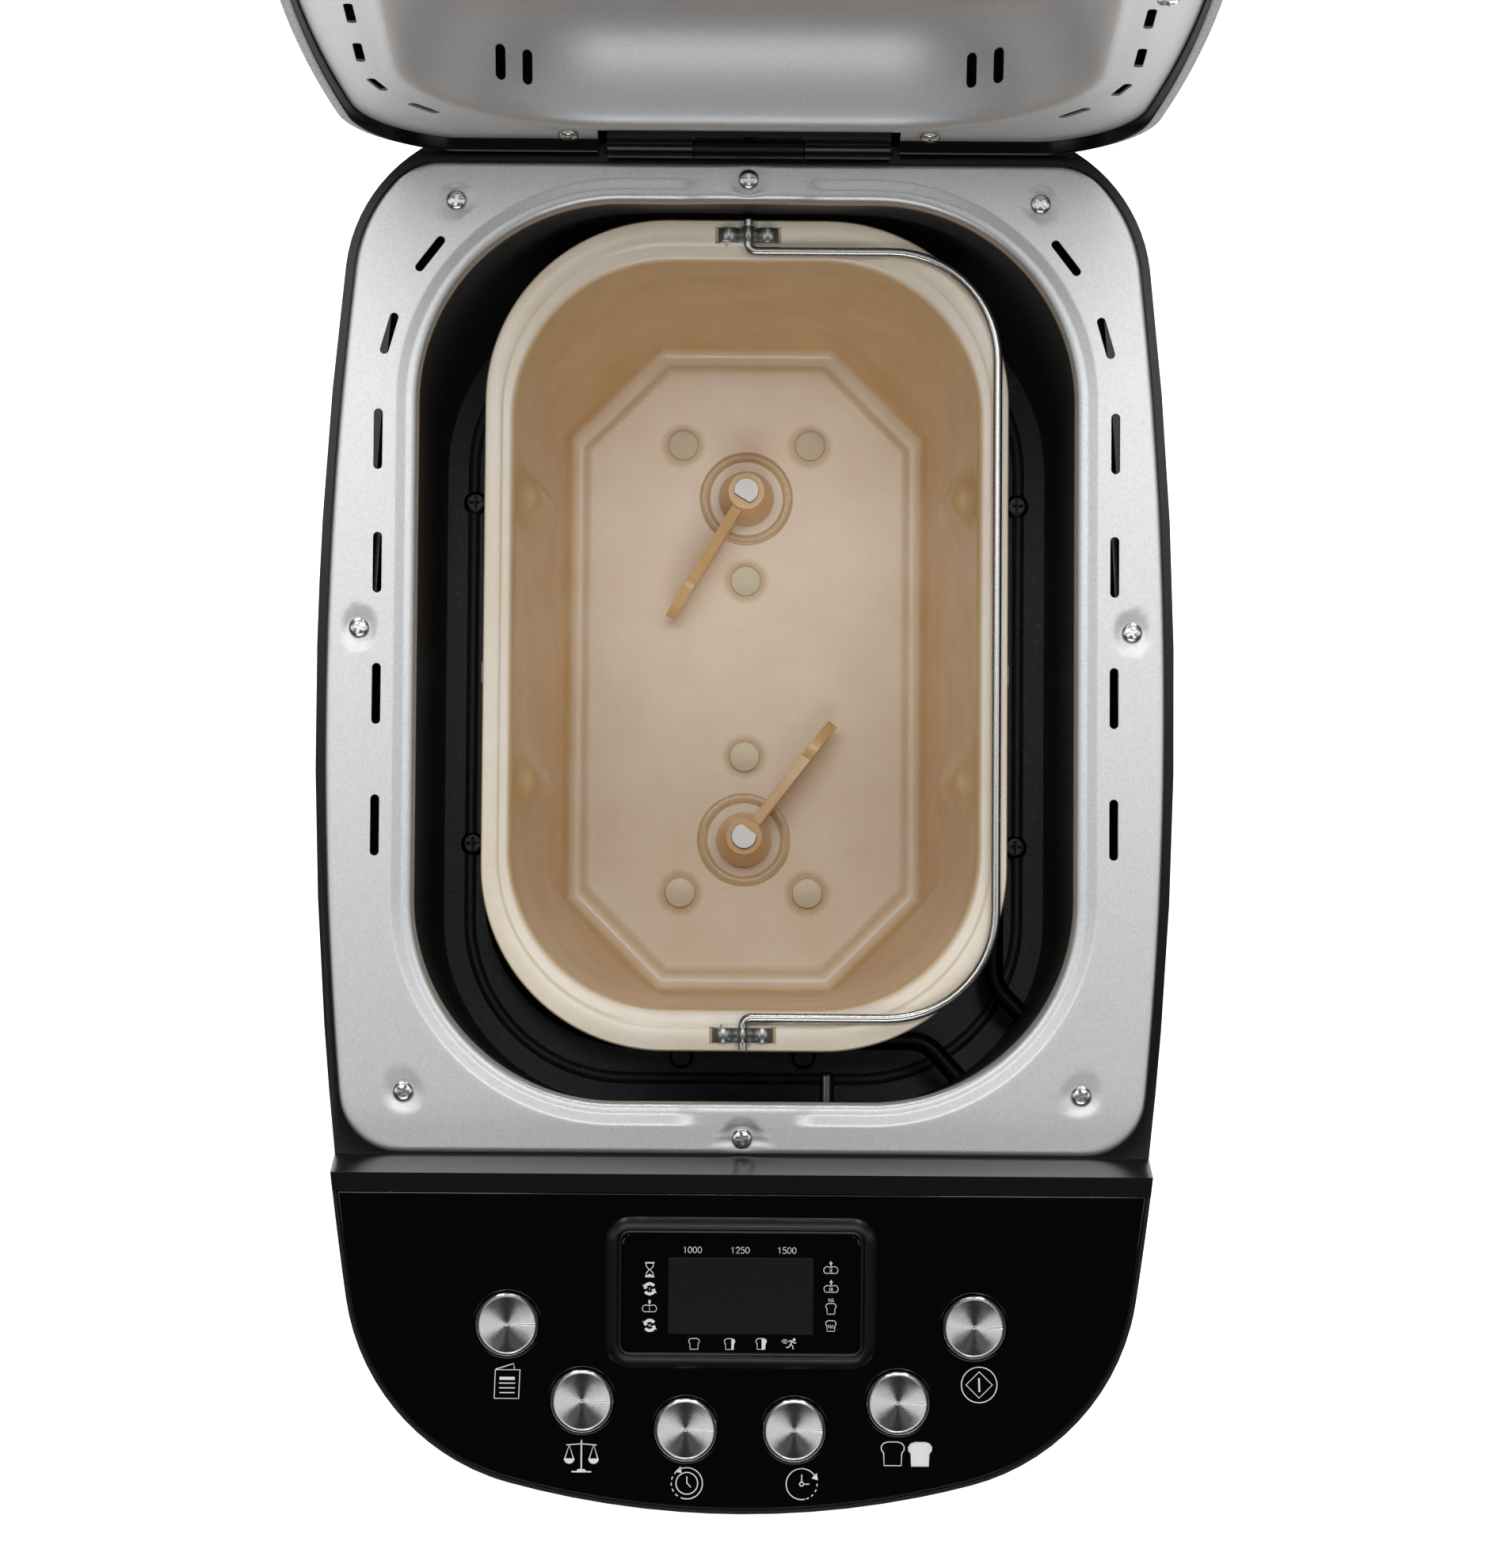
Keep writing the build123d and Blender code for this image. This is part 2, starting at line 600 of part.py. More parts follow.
with BuildPart() as pan_base_cups:
    with BuildSketch(pan_level(CUP_BOTTOM_Z)):
        with Locations(*SHAFT_PLACES):
            Circle(CUP_R)
            Circle(CUP_R - CUP_WALL, mode=Mode.SUBTRACT)
    extrude(amount=PAN_FLOOR_Z - PAN_WALL - CUP_BOTTOM_Z)
    with BuildSketch(pan_level(PAN_FLOOR_Z - PAN_WALL)):
        with Locations(*SHAFT_PLACES):
            Circle(LOBE_R)
            Circle(BUSH_R, mode=Mode.SUBTRACT)
    extrude(amount=-1.6)
    with BuildSketch(pan_level(PAN_FLOOR_Z)):
        with Locations(*rivet_places()):
            Circle(2.05)
    extrude(amount=-RIVET_L, mode=Mode.SUBTRACT)
pan_base_cups.part.label = "pan_base_cups"
export_step(pan_base_cups.part, "parts/pan_base_cups.step")

with BuildPart() as pan_rivets:
    with BuildSketch(pan_level(PAN_FLOOR_Z + PAN_PAD_H)):
        with Locations(*rivet_places()):
            Circle(RIVET_R)
    extrude(amount=1.0, taper=20)
    with BuildSketch(pan_level(PAN_FLOOR_Z + PAN_PAD_H)):
        with Locations(*rivet_places()):
            Circle(2.0)
    extrude(amount=-RIVET_L)
pan_rivets.part.label = "pan_rivets"
export_step(pan_rivets.part, "parts/pan_rivets.step")

with BuildPart() as shaft_bushes:
    with BuildSketch(pan_level(BUSH_BOTTOM_Z)):
        with Locations(*SHAFT_PLACES):
            Circle(BUSH_R)
            Circle(SHAFT_R + RUNNING_CLEARANCE, mode=Mode.SUBTRACT)
    extrude(amount=BUSH_TOP_Z - BUSH_BOTTOM_Z)
shaft_bushes.part.label = "shaft_bushes"
export_step(shaft_bushes.part, "parts/shaft_bushes.step")

with BuildPart() as bail_brackets:
    with BuildSketch(pan_level(PAN_RIM_Z - 1.4)):
        with Locations((0, BRACKET_Y), (0, -BRACKET_Y)):
            Rectangle(*BRACKET)
    extrude(amount=1.2)
    with BuildSketch(pan_level(PAN_RIM_Z - 1.4)):
        with Locations((0, BRACKET_Y + BRACKET[1] / 2 - EAR_T / 2), (0, -BRACKET_Y - BRACKET[1] / 2 + EAR_T / 2)):
            Rectangle(12, EAR_T)
    extrude(amount=BAIL_PIVOT_Z + 3.2 - PAN_RIM_Z + 1.4)
    with BuildSketch(Plane(origin=(0, CHAMBER_Y + PAN_Y, BAIL_PIVOT_Z), z_dir=(0, 1, 0))):
        Circle(BAIL_R + RUNNING_CLEARANCE)
    extrude(amount=PAN_RIM[1], both=True, mode=Mode.SUBTRACT)
bail_brackets.part.label = "bail_brackets"
export_step(bail_brackets.part, "parts/bail_brackets.step")

with BuildPart() as bail_handle:
    with BuildLine(pan_level(BAIL_PIVOT_Z)) as bail_path:
        FilletPolyline(
            (0, BAIL_TIP_Y), (0, ARM_Y), (BAIL_SPAN, ARM_Y), (BAIL_SPAN, -ARM_Y), (0, -ARM_Y), (0, -BAIL_TIP_Y),
            radius=[2.6, 34, 34, 2.6],
        )
    with BuildSketch(Plane(origin=bail_path.line @ 0, z_dir=bail_path.line % 0)):
        Circle(BAIL_R)
    sweep(path=bail_path.line)
bail_handle.part.label = "bail_handle"
export_step(bail_handle.part, "parts/bail_handle.step")

DOG_BAR = (6.0, 22.0)
DOG_BOTTOM_Z = 66.4
DOG_H = 4.0
FLAT_X = 2.8
FLAT_BOTTOM_Z = 91.0
HUB_BOTTOM_Z = BUSH_TOP_Z + 0.3
HUB_TOP_Z = 109.0
HUB_R = 9.35
HUB_TOP_R = 6.0
BORE_R = 4.1
BLADE_T = 3.4
BLADE_BOTTOM_Z = 89.3
BLADE_ROOT_Z = 107.5
BLADE_FLAT = 38.0
BLADE_TIP = [(46.0, 91.5), (PADDLE_REACH, 97.0), (45.0, 101.5)]
BLADE_SHOULDER = (34.0, 103.0)
BLADE_ANGLES = {"rear": -121.4, "front": 52.6}

for end, shaft_y in SHAFTS.items():
    here = (0, CHAMBER_Y + shaft_y)
    turned = Location((*here, 0), (0, 0, BLADE_ANGLES[end]))
    with BuildPart() as pan_shaft:
        with BuildSketch(Plane(origin=(*here, DOG_BOTTOM_Z))):
            Rectangle(*DOG_BAR)
        extrude(amount=DOG_H)
        with BuildSketch(Plane(origin=(*here, DOG_BOTTOM_Z))):
            Circle(6)
        extrude(amount=BUSH_BOTTOM_Z - 0.4 - DOG_BOTTOM_Z)
        with BuildSketch(Plane(origin=(*here, DOG_BOTTOM_Z))):
            Circle(SHAFT_R)
        extrude(amount=SHAFT_TOP_Z - DOG_BOTTOM_Z)
        with BuildSketch(Plane(turned * Location((0, 0, FLAT_BOTTOM_Z)))):
            with Locations((FLAT_X + SHAFT_R, 0)):
                Rectangle(2 * SHAFT_R, 4 * SHAFT_R)
        extrude(amount=SHAFT_TOP_Z, mode=Mode.SUBTRACT)
    pan_shaft.part.label = f"{end}_pan_shaft"
    export_step(pan_shaft.part, f"parts/{end}_pan_shaft.step")

    with BuildPart() as paddle:
        with BuildSketch(Plane(origin=(*here, HUB_BOTTOM_Z))):
            Circle(HUB_R)
        with BuildSketch(Plane(origin=(*here, HUB_TOP_Z))):
            Circle(HUB_TOP_R)
        loft()
        with BuildSketch(Plane(turned * Location((0, 0, 0), (90, 0, 0)))):
            with BuildLine():
                Line((0, BLADE_BOTTOM_Z), (BLADE_FLAT, BLADE_BOTTOM_Z))
                Spline((BLADE_FLAT, BLADE_BOTTOM_Z), *BLADE_TIP, BLADE_SHOULDER)
                Line(BLADE_SHOULDER, (0, BLADE_ROOT_Z))
                Line((0, BLADE_ROOT_Z), (0, BLADE_BOTTOM_Z))
            make_face()
        extrude(amount=BLADE_T / 2, both=True)
        with BuildSketch(Plane(turned * Location((0, 0, HUB_BOTTOM_Z - 1)))):
            Circle(BORE_R)
            with Locations((FLAT_X + 0.1 + BORE_R, 0)):
                Rectangle(2 * BORE_R, 4 * BORE_R, mode=Mode.SUBTRACT)
        extrude(amount=HUB_TOP_Z, mode=Mode.SUBTRACT)
        with BuildSketch(Plane(origin=(*here, HUB_BOTTOM_Z - 1))):
            Circle(BORE_R)
        extrude(amount=FLAT_BOTTOM_Z + 1.3 - HUB_BOTTOM_Z, mode=Mode.SUBTRACT)
    paddle.part.label = f"{end}_paddle"
    export_step(paddle.part, f"parts/{end}_paddle.step")

# ---------------------------------------------------------------------------
# Drive: bearings, couplers, pulleys, belts and motor
# ---------------------------------------------------------------------------

FIT = 0.02
BRACKET_Z = 48.0
BRACKET_T = 2.0
COUPLER_Z = 63.6
COUPLER_T = 2.0
LUG_X = 9.5
HUB_END_Z = 38.0
SHAFT_BOTTOM_Z = 12.0

with BuildPart() as drive_bracket:
    with BuildSketch(pan_level(BRACKET_Z)):
        RectangleRounded(64, 184, 8)
        with Locations(*SHAFT_PLACES):
            Circle(8.05, mode=Mode.SUBTRACT)
        with GridLocations(30, 30, 2, 2):
            Circle(6, mode=Mode.SUBTRACT)
    extrude(amount=BRACKET_T)
    with BuildSketch(pan_level(BRACKET_Z)):
        with GridLocations(50, 168, 2, 2):
            Circle(4)
    extrude(amount=CHAMBER_FLOOR_Z - CHAMBER_WALL - BRACKET_Z)
drive_bracket.part.label = "drive_bracket"
export_step(drive_bracket.part, "parts/drive_bracket.step")

with BuildPart() as shaft_bearings:
    with BuildSketch(pan_level(BRACKET_Z - 4)):
        with Locations(*SHAFT_PLACES):
            Circle(8)
    extrude(amount=CHAMBER_FLOOR_Z - BRACKET_Z + 4)
    with BuildSketch(pan_level(CHAMBER_FLOOR_Z)):
        with Locations(*SHAFT_PLACES):
            Circle(11)
    extrude(amount=1.1)
    with BuildSketch(pan_level(0)):
        with Locations(*SHAFT_PLACES):
            Circle(SHAFT_R + RUNNING_CLEARANCE)
    extrude(amount=100, mode=Mode.SUBTRACT)
shaft_bearings.part.label = "shaft_bearings"
export_step(shaft_bearings.part, "parts/shaft_bearings.step")

for end, shaft_y in SHAFTS.items():
    here = (0, CHAMBER_Y + shaft_y)
    with BuildPart() as drive_shaft:
        with BuildSketch(Plane(origin=(*here, SHAFT_BOTTOM_Z))):
            Circle(SHAFT_R)
        extrude(amount=COUPLER_Z + COUPLER_T - SHAFT_BOTTOM_Z)
    drive_shaft.part.label = f"{end}_drive_shaft"
    export_step(drive_shaft.part, f"parts/{end}_drive_shaft.step")

    with BuildPart() as coupler:
        with BuildSketch(Plane(origin=(*here, COUPLER_Z))):
            Circle(13)
            Circle(SHAFT_R + FIT, mode=Mode.SUBTRACT)
        extrude(amount=COUPLER_T)
        with BuildSketch(Plane(origin=(*here, COUPLER_Z))):
            with Locations((LUG_X, 0), (-LUG_X, 0)):
                Rectangle(5, 8)
        extrude(amount=7)
    coupler.part.label = f"{end}_coupler"
    export_step(coupler.part, f"parts/{end}_coupler.step")

    with BuildPart() as pulley:
        with BuildSketch(Plane(origin=(*here, DRIVE_BELT_Z - 4))):
            Circle(SMALL_PULLEY_R)
        extrude(amount=8)
        hub_z = MOTOR_BELT_Z if end == "front" else DRIVE_BELT_Z - 6
        with BuildSketch(Plane(origin=(*here, hub_z))):
            Circle(9)
        extrude(amount=HUB_END_Z - hub_z)
        if end == "front":
            with BuildSketch(Plane(origin=(*here, MOTOR_BELT_Z - 4))):
                Circle(BIG_PULLEY_R)
                with PolarLocations(28, 6):
                    Circle(8, mode=Mode.SUBTRACT)
            extrude(amount=8)
        with BuildSketch(Plane(origin=(*here, 0))):
            Circle(SHAFT_R + FIT)
        extrude(amount=60, mode=Mode.SUBTRACT)
    pulley.part.label = f"{end}_pulley"
    export_step(pulley.part, f"parts/{end}_pulley.step")


def belt_sketch(z, ends, grow):
    """The closed loop round two pulleys, each radius grown by grow."""
    with BuildSketch(level(z)) as loop:
        for y, radius in ends:
            with Locations((0, y)):
                Circle(radius + grow)
        make_hull()
    return loop.sketch


belts = {
    "motor_belt": (MOTOR_BELT_Z, [(MOTOR_Y, MOTOR_PULLEY_R), (FRONT_SHAFT_Y, BIG_PULLEY_R)]),
    "drive_belt": (DRIVE_BELT_Z, [(FRONT_SHAFT_Y, SMALL_PULLEY_R), (REAR_SHAFT_Y, SMALL_PULLEY_R)]),
}
for belt_name, (belt_z, belt_ends) in belts.items():
    outside = belt_sketch(belt_z - BELT_W / 2, belt_ends, BELT_GAP + BELT_T)
    inside = belt_sketch(belt_z - BELT_W / 2, belt_ends, BELT_GAP)
    with BuildPart() as belt:
        extrude(outside, amount=BELT_W)
        extrude(inside, amount=BELT_W, mode=Mode.SUBTRACT)
    belt.part.label = belt_name
    export_step(belt.part, f"parts/{belt_name}.step")

MOTOR_BOTTOM_Z = 44.0
MOTOR_TOP_Z = 118.0

with BuildPart() as motor_bracket:
    with BuildSketch(level(MOTOR_PLATE_Z)):
        with Locations((0, MOTOR_Y + 2)):
            RectangleRounded(112, 74, 8)
        with Locations((0, MOTOR_Y)):
            Circle(9, mode=Mode.SUBTRACT)
    extrude(amount=MOTOR_BOTTOM_Z - MOTOR_PLATE_Z)
    with BuildSketch(level(MOTOR_PLATE_Z)):
        with Locations((50, -188), (-50, -188), (50, -234), (-50, -234)):
            Circle(3)
    extrude(amount=148 - MOTOR_PLATE_Z)
motor_bracket.part.label = "motor_bracket"
export_step(motor_bracket.part, "parts/motor_bracket.step")

with BuildPart() as motor_housing:
    with BuildSketch(level(MOTOR_BOTTOM_Z)):
        with Locations((0, MOTOR_Y)):
            Circle(MOTOR_R - 5)
    extrude(amount=MOTOR_TOP_Z - MOTOR_BOTTOM_Z)
    fillet(motor_housing.edges().group_by(Axis.Z)[-1], radius=8)
    with BuildSketch(level(MOTOR_BOTTOM_Z + 16)):
        with Locations((0, MOTOR_Y)):
            Circle(MOTOR_R)
    extrude(amount=40)
    with BuildSketch(level(0)):
        with Locations((0, MOTOR_Y)):
            Circle(SHAFT_R + RUNNING_CLEARANCE)
    extrude(amount=200, mode=Mode.SUBTRACT)
motor_housing.part.label = "motor_housing"
export_step(motor_housing.part, "parts/motor_housing.step")

with BuildPart() as motor_shaft:
    with BuildSketch(level(SHAFT_BOTTOM_Z)):
        with Locations((0, MOTOR_Y)):
            Circle(SHAFT_R)
    extrude(amount=MOTOR_TOP_Z + 8 - SHAFT_BOTTOM_Z)
motor_shaft.part.label = "motor_shaft"
export_step(motor_shaft.part, "parts/motor_shaft.step")

with BuildPart() as motor_pulley:
    with BuildSketch(level(MOTOR_BELT_Z - 4)):
        with Locations((0, MOTOR_Y)):
            Circle(MOTOR_PULLEY_R)
    extrude(amount=8)
    with BuildSketch(level(MOTOR_BELT_Z - 5.5)):
        with Locations((0, MOTOR_Y)):
            Circle(MOTOR_PULLEY_R + 3)
    extrude(amount=1.5)
    with BuildSketch(level(0)):
        with Locations((0, MOTOR_Y)):
            Circle(SHAFT_R + FIT)
    extrude(amount=60, mode=Mode.SUBTRACT)
motor_pulley.part.label = "motor_pulley"
export_step(motor_pulley.part, "parts/motor_pulley.step")

with BuildPart() as power_board:
    with BuildSketch(level(148)):
        with Locations((0, MOTOR_Y)):
            Rectangle(120, 62)
    extrude(amount=1.6)
    with BuildSketch(level(149.6)):
        with Locations((-38, MOTOR_Y)):
            Rectangle(30, 26)
    extrude(amount=22)
    with BuildSketch(level(149.6)):
        with Locations((0, MOTOR_Y + 12), (0, MOTOR_Y - 12)):
            Rectangle(19, 15)
    extrude(amount=15)
    with BuildSketch(level(149.6)):
        with Locations((30, MOTOR_Y + 15), (44, MOTOR_Y + 15), (36, MOTOR_Y - 12)):
            Circle(5)
    extrude(amount=18)
power_board.part.label = "power_board"
export_step(power_board.part, "parts/power_board.step")

# ---------------------------------------------------------------------------
# Control panel, display and buttons
# ---------------------------------------------------------------------------

BOARD_DEPTH = 13.0
BOARD_T = 1.6
SWITCH_H = 3.5
STEM_BOTTOM = -(BOARD_DEPTH - BOARD_T - SWITCH_H) + BUTTON_TRAVEL + 0.3
BUTTON_PLACES = [panel_place(x, y) for x, y in BUTTONS.values()]
BEZEL_PLACE = panel_place(0, BEZEL_Y)

with BuildPart() as control_panel:
    with BuildSketch(level(PANEL_Z - 40)):
        add(body_sections["panel"])
    extrude(amount=60)
    with BuildSketch(SIDE):
        with BuildLine():
            Polyline(
                (PANEL_BACK_Y, PANEL_Z),
                (FRONT_Y - 1, panel_z(FRONT_Y - 1)),
                (FRONT_Y - 1, panel_z(FRONT_Y - 1) - PANEL_T),
                (PANEL_BACK_Y, PANEL_Z - PANEL_T),
                close=True,
            )
        make_face()
    extrude(amount=REACH, both=True, mode=Mode.INTERSECT)
    with BuildSketch(panel_level(1)):
        with Locations(*BUTTON_PLACES):
            Circle(BUTTON_HOLE_R)
        with Locations(BEZEL_PLACE):
            RectangleRounded(BEZEL[0] - 4, BEZEL[1] - 4, 6)
    extrude(amount=-12, mode=Mode.SUBTRACT)
control_panel.part.label = "control_panel"
export_step(control_panel.part, "parts/control_panel.step")

with BuildPart() as display_bezel:
    with BuildSketch(panel_level(0)):
        with Locations(BEZEL_PLACE):
            RectangleRounded(*BEZEL, 7.5)
    extrude(amount=1.4, taper=30)
    with BuildSketch(panel_level(0)):
        with Locations(BEZEL_PLACE):
            RectangleRounded(BEZEL[0] - 4.4, BEZEL[1] - 4.4, 5.8)
    extrude(amount=-PANEL_T - 1)
    with BuildSketch(panel_level(-PANEL_T - 2)):
        with Locations(BEZEL_PLACE):
            RectangleRounded(LENS[0] + 0.3, LENS[1] + 0.3, 4)
    extrude(amount=PANEL_T + 6, mode=Mode.SUBTRACT)
display_bezel.part.label = "display_bezel"
export_step(display_bezel.part, "parts/display_bezel.step")

with BuildPart() as display_lens:
    with BuildSketch(panel_level(-1.4)):
        with Locations(BEZEL_PLACE):
            RectangleRounded(*LENS, 3.8)
    extrude(amount=1.6)
display_lens.part.label = "display_lens"
export_step(display_lens.part, "parts/display_lens.step")

with BuildPart() as display_module:
    with BuildSketch(panel_level(-1.5)):
        with Locations(BEZEL_PLACE):
            Rectangle(66, 32)
    extrude(amount=-5.5)
display_module.part.label = "display_module"
export_step(display_module.part, "parts/display_module.step")

with BuildPart() as button_board:
    with BuildSketch(panel_level(-BOARD_DEPTH)):
        with Locations(panel_place(0, -207)):
            Rectangle(166, 50)
        with Locations(panel_place(0, -240)):
            Rectangle(112, 22)
    extrude(amount=BOARD_T)
    with BuildSketch(panel_level(-BOARD_DEPTH + BOARD_T)):
        with Locations(*BUTTON_PLACES):
            Rectangle(6, 6)
    extrude(amount=SWITCH_H)
button_board.part.label = "button_board"
export_step(button_board.part, "parts/button_board.step")

for button_name, (button_x, button_y) in BUTTONS.items():
    centre = panel_place(button_x, button_y)
    with BuildPart() as button:
        with BuildSketch(panel_level(-PANEL_T - 0.3)):
            with Locations(centre):
                Circle(BUTTON_R)
        extrude(amount=PANEL_T + 2.3)
        with BuildSketch(panel_level(-PANEL_T - 0.3)):
            with Locations(centre):
                Circle(11.2)
        extrude(amount=-1.3)
        with BuildSketch(panel_level(-PANEL_T - 1.6)):
            with Locations(centre):
                Circle(3)
        extrude(amount=STEM_BOTTOM + PANEL_T + 1.6)
    button.part.label = f"{button_name}_button"
    export_step(button.part, f"parts/{button_name}_button.step")

# ---------------------------------------------------------------------------
# Lid and its hinge
# ---------------------------------------------------------------------------

NOTCH_X = 47.0
NOTCH_TOP_Z = 251.0
PEDESTAL_X = 17.0
ARM_IN_X = 17.5
ARM_OUT_X = 44.0
HINGE_PLATE_W = 5.6
HINGE_PLATE_Y = HINGE_Y - 5.0 - HINGE_PLATE_W / 2
COVER_BOTTOM_Z = 243.2
COVER_HEIGHT = LID_TOP_Z - COVER_BOTTOM_Z
LINER_T = 0.8
LINER_TOP_Z = 282.0
LINER_R = 27.0
LINER_INSET = 7.3
LID_SCREWS = [(56, 149), (-56, 149), (118, 6), (-118, 6), (60, -143), (-60, -143)]

with BuildPart() as hinge_bracket:
    with BuildSketch(level(RIM_TOP_Z)):
        with Locations((0, HINGE_Y)):
            Rectangle(2 * PEDESTAL_X, 7)
    extrude(amount=HINGE_Z - RIM_TOP_Z)
    with BuildSketch(Plane(origin=(0, CHAMBER_Y + HINGE_Y, HINGE_Z), z_dir=(1, 0, 0))):
        Circle(KNUCKLE_R)
    extrude(amount=PEDESTAL_X, both=True)
    with BuildSketch(Plane(origin=(0, CHAMBER_Y + HINGE_Y, HINGE_Z), z_dir=(1, 0, 0))):
        Circle(PIN_R + FIT)
    extrude(amount=PEDESTAL_X, both=True, mode=Mode.SUBTRACT)
hinge_bracket.part.label = "hinge_bracket"
export_step(hinge_bracket.part, "parts/hinge_bracket.step")

with BuildPart() as hinge_pin:
    with BuildSketch(Plane(origin=(0, CHAMBER_Y + HINGE_Y, HINGE_Z), z_dir=(1, 0, 0))):
        Circle(PIN_R)
    extrude(amount=ARM_OUT_X + 1, both=True)
hinge_pin.part.label = "hinge_pin"
export_step(hinge_pin.part, "parts/hinge_pin.step")

with BuildPart() as lid_hinge:
    with BuildSketch(lid_level(HINGE_Z)):
        with Locations((0, HINGE_PLATE_Y)):
            Rectangle(2 * ARM_OUT_X, HINGE_PLATE_W)
    extrude(amount=4)
    for side in (1, -1):
        start = Location((side * ARM_IN_X, CHAMBER_Y + HINGE_Y, HINGE_Z))
        with BuildSketch(Plane(origin=start.position, z_dir=(side, 0, 0))):
            Circle(KNUCKLE_R)
        extrude(amount=ARM_OUT_X - ARM_IN_X)
        with BuildSketch(lid_level(HINGE_Z)):
            with Locations((side * (ARM_IN_X + ARM_OUT_X) / 2, HINGE_Y - 3.5)):
                Rectangle(ARM_OUT_X - ARM_IN_X, 7)
        extrude(amount=4)
    with BuildSketch(Plane(origin=(0, CHAMBER_Y + HINGE_Y, HINGE_Z), z_dir=(1, 0, 0))):
        Circle(PIN_R + RUNNING_CLEARANCE)
    extrude(amount=REACH, both=True, mode=Mode.SUBTRACT)
    with BuildSketch(lid_level(HINGE_Z)):
        with Locations((0, HINGE_PLATE_Y)):
            Circle(1.5)
    extrude(amount=5, mode=Mode.SUBTRACT)
lid_hinge.part.label = "lid_hinge"
export_step(lid_hinge.part, "parts/lid_hinge.step")

with BuildPart() as lid_cover:
    with BuildSketch(lid_level(COVER_BOTTOM_Z)):
        add(lid_outline(0))
    extrude(amount=COVER_HEIGHT)
    fillet(lid_cover.faces().sort_by(LID_UP)[-1].edges(), radius=LID_EDGE_R)
    offset(amount=-LID_WALL, openings=lid_cover.faces().sort_by(LID_UP)[0])
    with BuildSketch(lid_level(COVER_BOTTOM_Z)):
        with Locations((0, HINGE_Y)):
            Rectangle(2 * NOTCH_X, 16)
    extrude(amount=NOTCH_TOP_Z - COVER_BOTTOM_Z, mode=Mode.SUBTRACT)
    with BuildSketch(lid_level(LID_TOP_Z - 6)):
        with Locations((0, WINDOW_Y)):
            RectangleRounded(*WINDOW, 14)
    extrude(amount=10, mode=Mode.SUBTRACT)
lid_cover.part.label = "lid_cover"
export_step(lid_cover.part, "parts/lid_cover.step")

with BuildPart() as lid_frame:
    with BuildSketch(lid_level(LID_BOTTOM_Z)):
        add(lid_outline(LID_WALL + 0.2))
        add(lid_outline(LINER_INSET), mode=Mode.SUBTRACT)
        with Locations((0, HINGE_Y)):
            Rectangle(2 * NOTCH_X, 16, mode=Mode.SUBTRACT)
    extrude(amount=14)
lid_frame.part.label = "lid_frame"
export_step(lid_frame.part, "parts/lid_frame.step")

with BuildPart() as lid_liner:
    with BuildSketch(lid_level(LINER_Z)):
        RectangleRounded(*MOUTH, MOUTH_R)
    extrude(amount=LINER_TOP_Z - LINER_Z)
    fillet(lid_liner.faces().sort_by(LID_UP)[-1].edges(), radius=LINER_R)
    offset(amount=-LINER_T, openings=lid_liner.faces().sort_by(LID_UP)[0])
    with BuildSketch(lid_level(LINER_Z)):
        add(lid_outline(LINER_INSET + 0.1))
        RectangleRounded(*MOUTH, MOUTH_R, mode=Mode.SUBTRACT)
        with Locations((0, HINGE_Y)):
            Rectangle(2 * NOTCH_X, 22, mode=Mode.SUBTRACT)
        with Locations(*LID_SCREWS):
            Circle(1.6, mode=Mode.SUBTRACT)
        for x, y, length, lean in mirrored(DECK_SLOTS):
            with Locations((x, y)):
                SlotOverall(length, SLOT_W, rotation=lean, mode=Mode.SUBTRACT)
    extrude(amount=LINER_T)
    with BuildSketch(lid_level(LINER_TOP_Z - 5)):
        with Locations((0, WINDOW_Y)):
            RectangleRounded(WINDOW[0] - 8, WINDOW[1] - 8, 10)
    extrude(amount=10, mode=Mode.SUBTRACT)
lid_liner.part.label = "lid_liner"
export_step(lid_liner.part, "parts/lid_liner.step")

with BuildPart() as window_glass:
    with BuildSketch(lid_level(LID_TOP_Z - LID_WALL)):
        with Locations((0, WINDOW_Y)):
            RectangleRounded(WINDOW[0] - 0.4, WINDOW[1] - 0.4, 13.8)
    extrude(amount=LID_WALL)
window_glass.part.label = "window_glass"
export_step(window_glass.part, "parts/window_glass.step")

with BuildPart() as inner_glass:
    with BuildSketch(lid_level(LINER_TOP_Z)):
        with Locations((0, WINDOW_Y)):
            RectangleRounded(WINDOW[0], WINDOW[1], 14)
    extrude(amount=3)
inner_glass.part.label = "inner_glass"
export_step(inner_glass.part, "parts/inner_glass.step")

with BuildPart() as window_gasket:
    with BuildSketch(lid_level(LINER_TOP_Z + 3)):
        with Locations((0, WINDOW_Y)):
            RectangleRounded(WINDOW[0], WINDOW[1], 14)
            RectangleRounded(WINDOW[0] - 10, WINDOW[1] - 10, 9, mode=Mode.SUBTRACT)
    extrude(amount=LID_TOP_Z - LID_WALL - LINER_TOP_Z - 3)
window_gasket.part.label = "window_gasket"
export_step(window_gasket.part, "parts/window_gasket.step")

lid_screw = cross_screw(3.2, 1.5, 1.5, 8)
hinge_screw = cross_screw(3.0, 1.5, 1.45, 3.8)
with BuildPart() as lid_screws:
    with Locations(*[lid_level(LINER_Z) * Location((x, y, 0), (180, 0, 0)) for x, y in LID_SCREWS]):
        add(lid_screw)
    with Locations(lid_level(HINGE_Z) * Location((0, HINGE_PLATE_Y, 0), (180, 0, 0))):
        add(hinge_screw)
lid_screws.part.label = "lid_screws"
export_step(lid_screws.part, "parts/lid_screws.step")
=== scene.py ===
"""Bread machine with its lid open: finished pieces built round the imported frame."""

import json
from math import cos, pi, radians, sin

import bmesh
import bpy
import numpy as np
from mathutils import Matrix


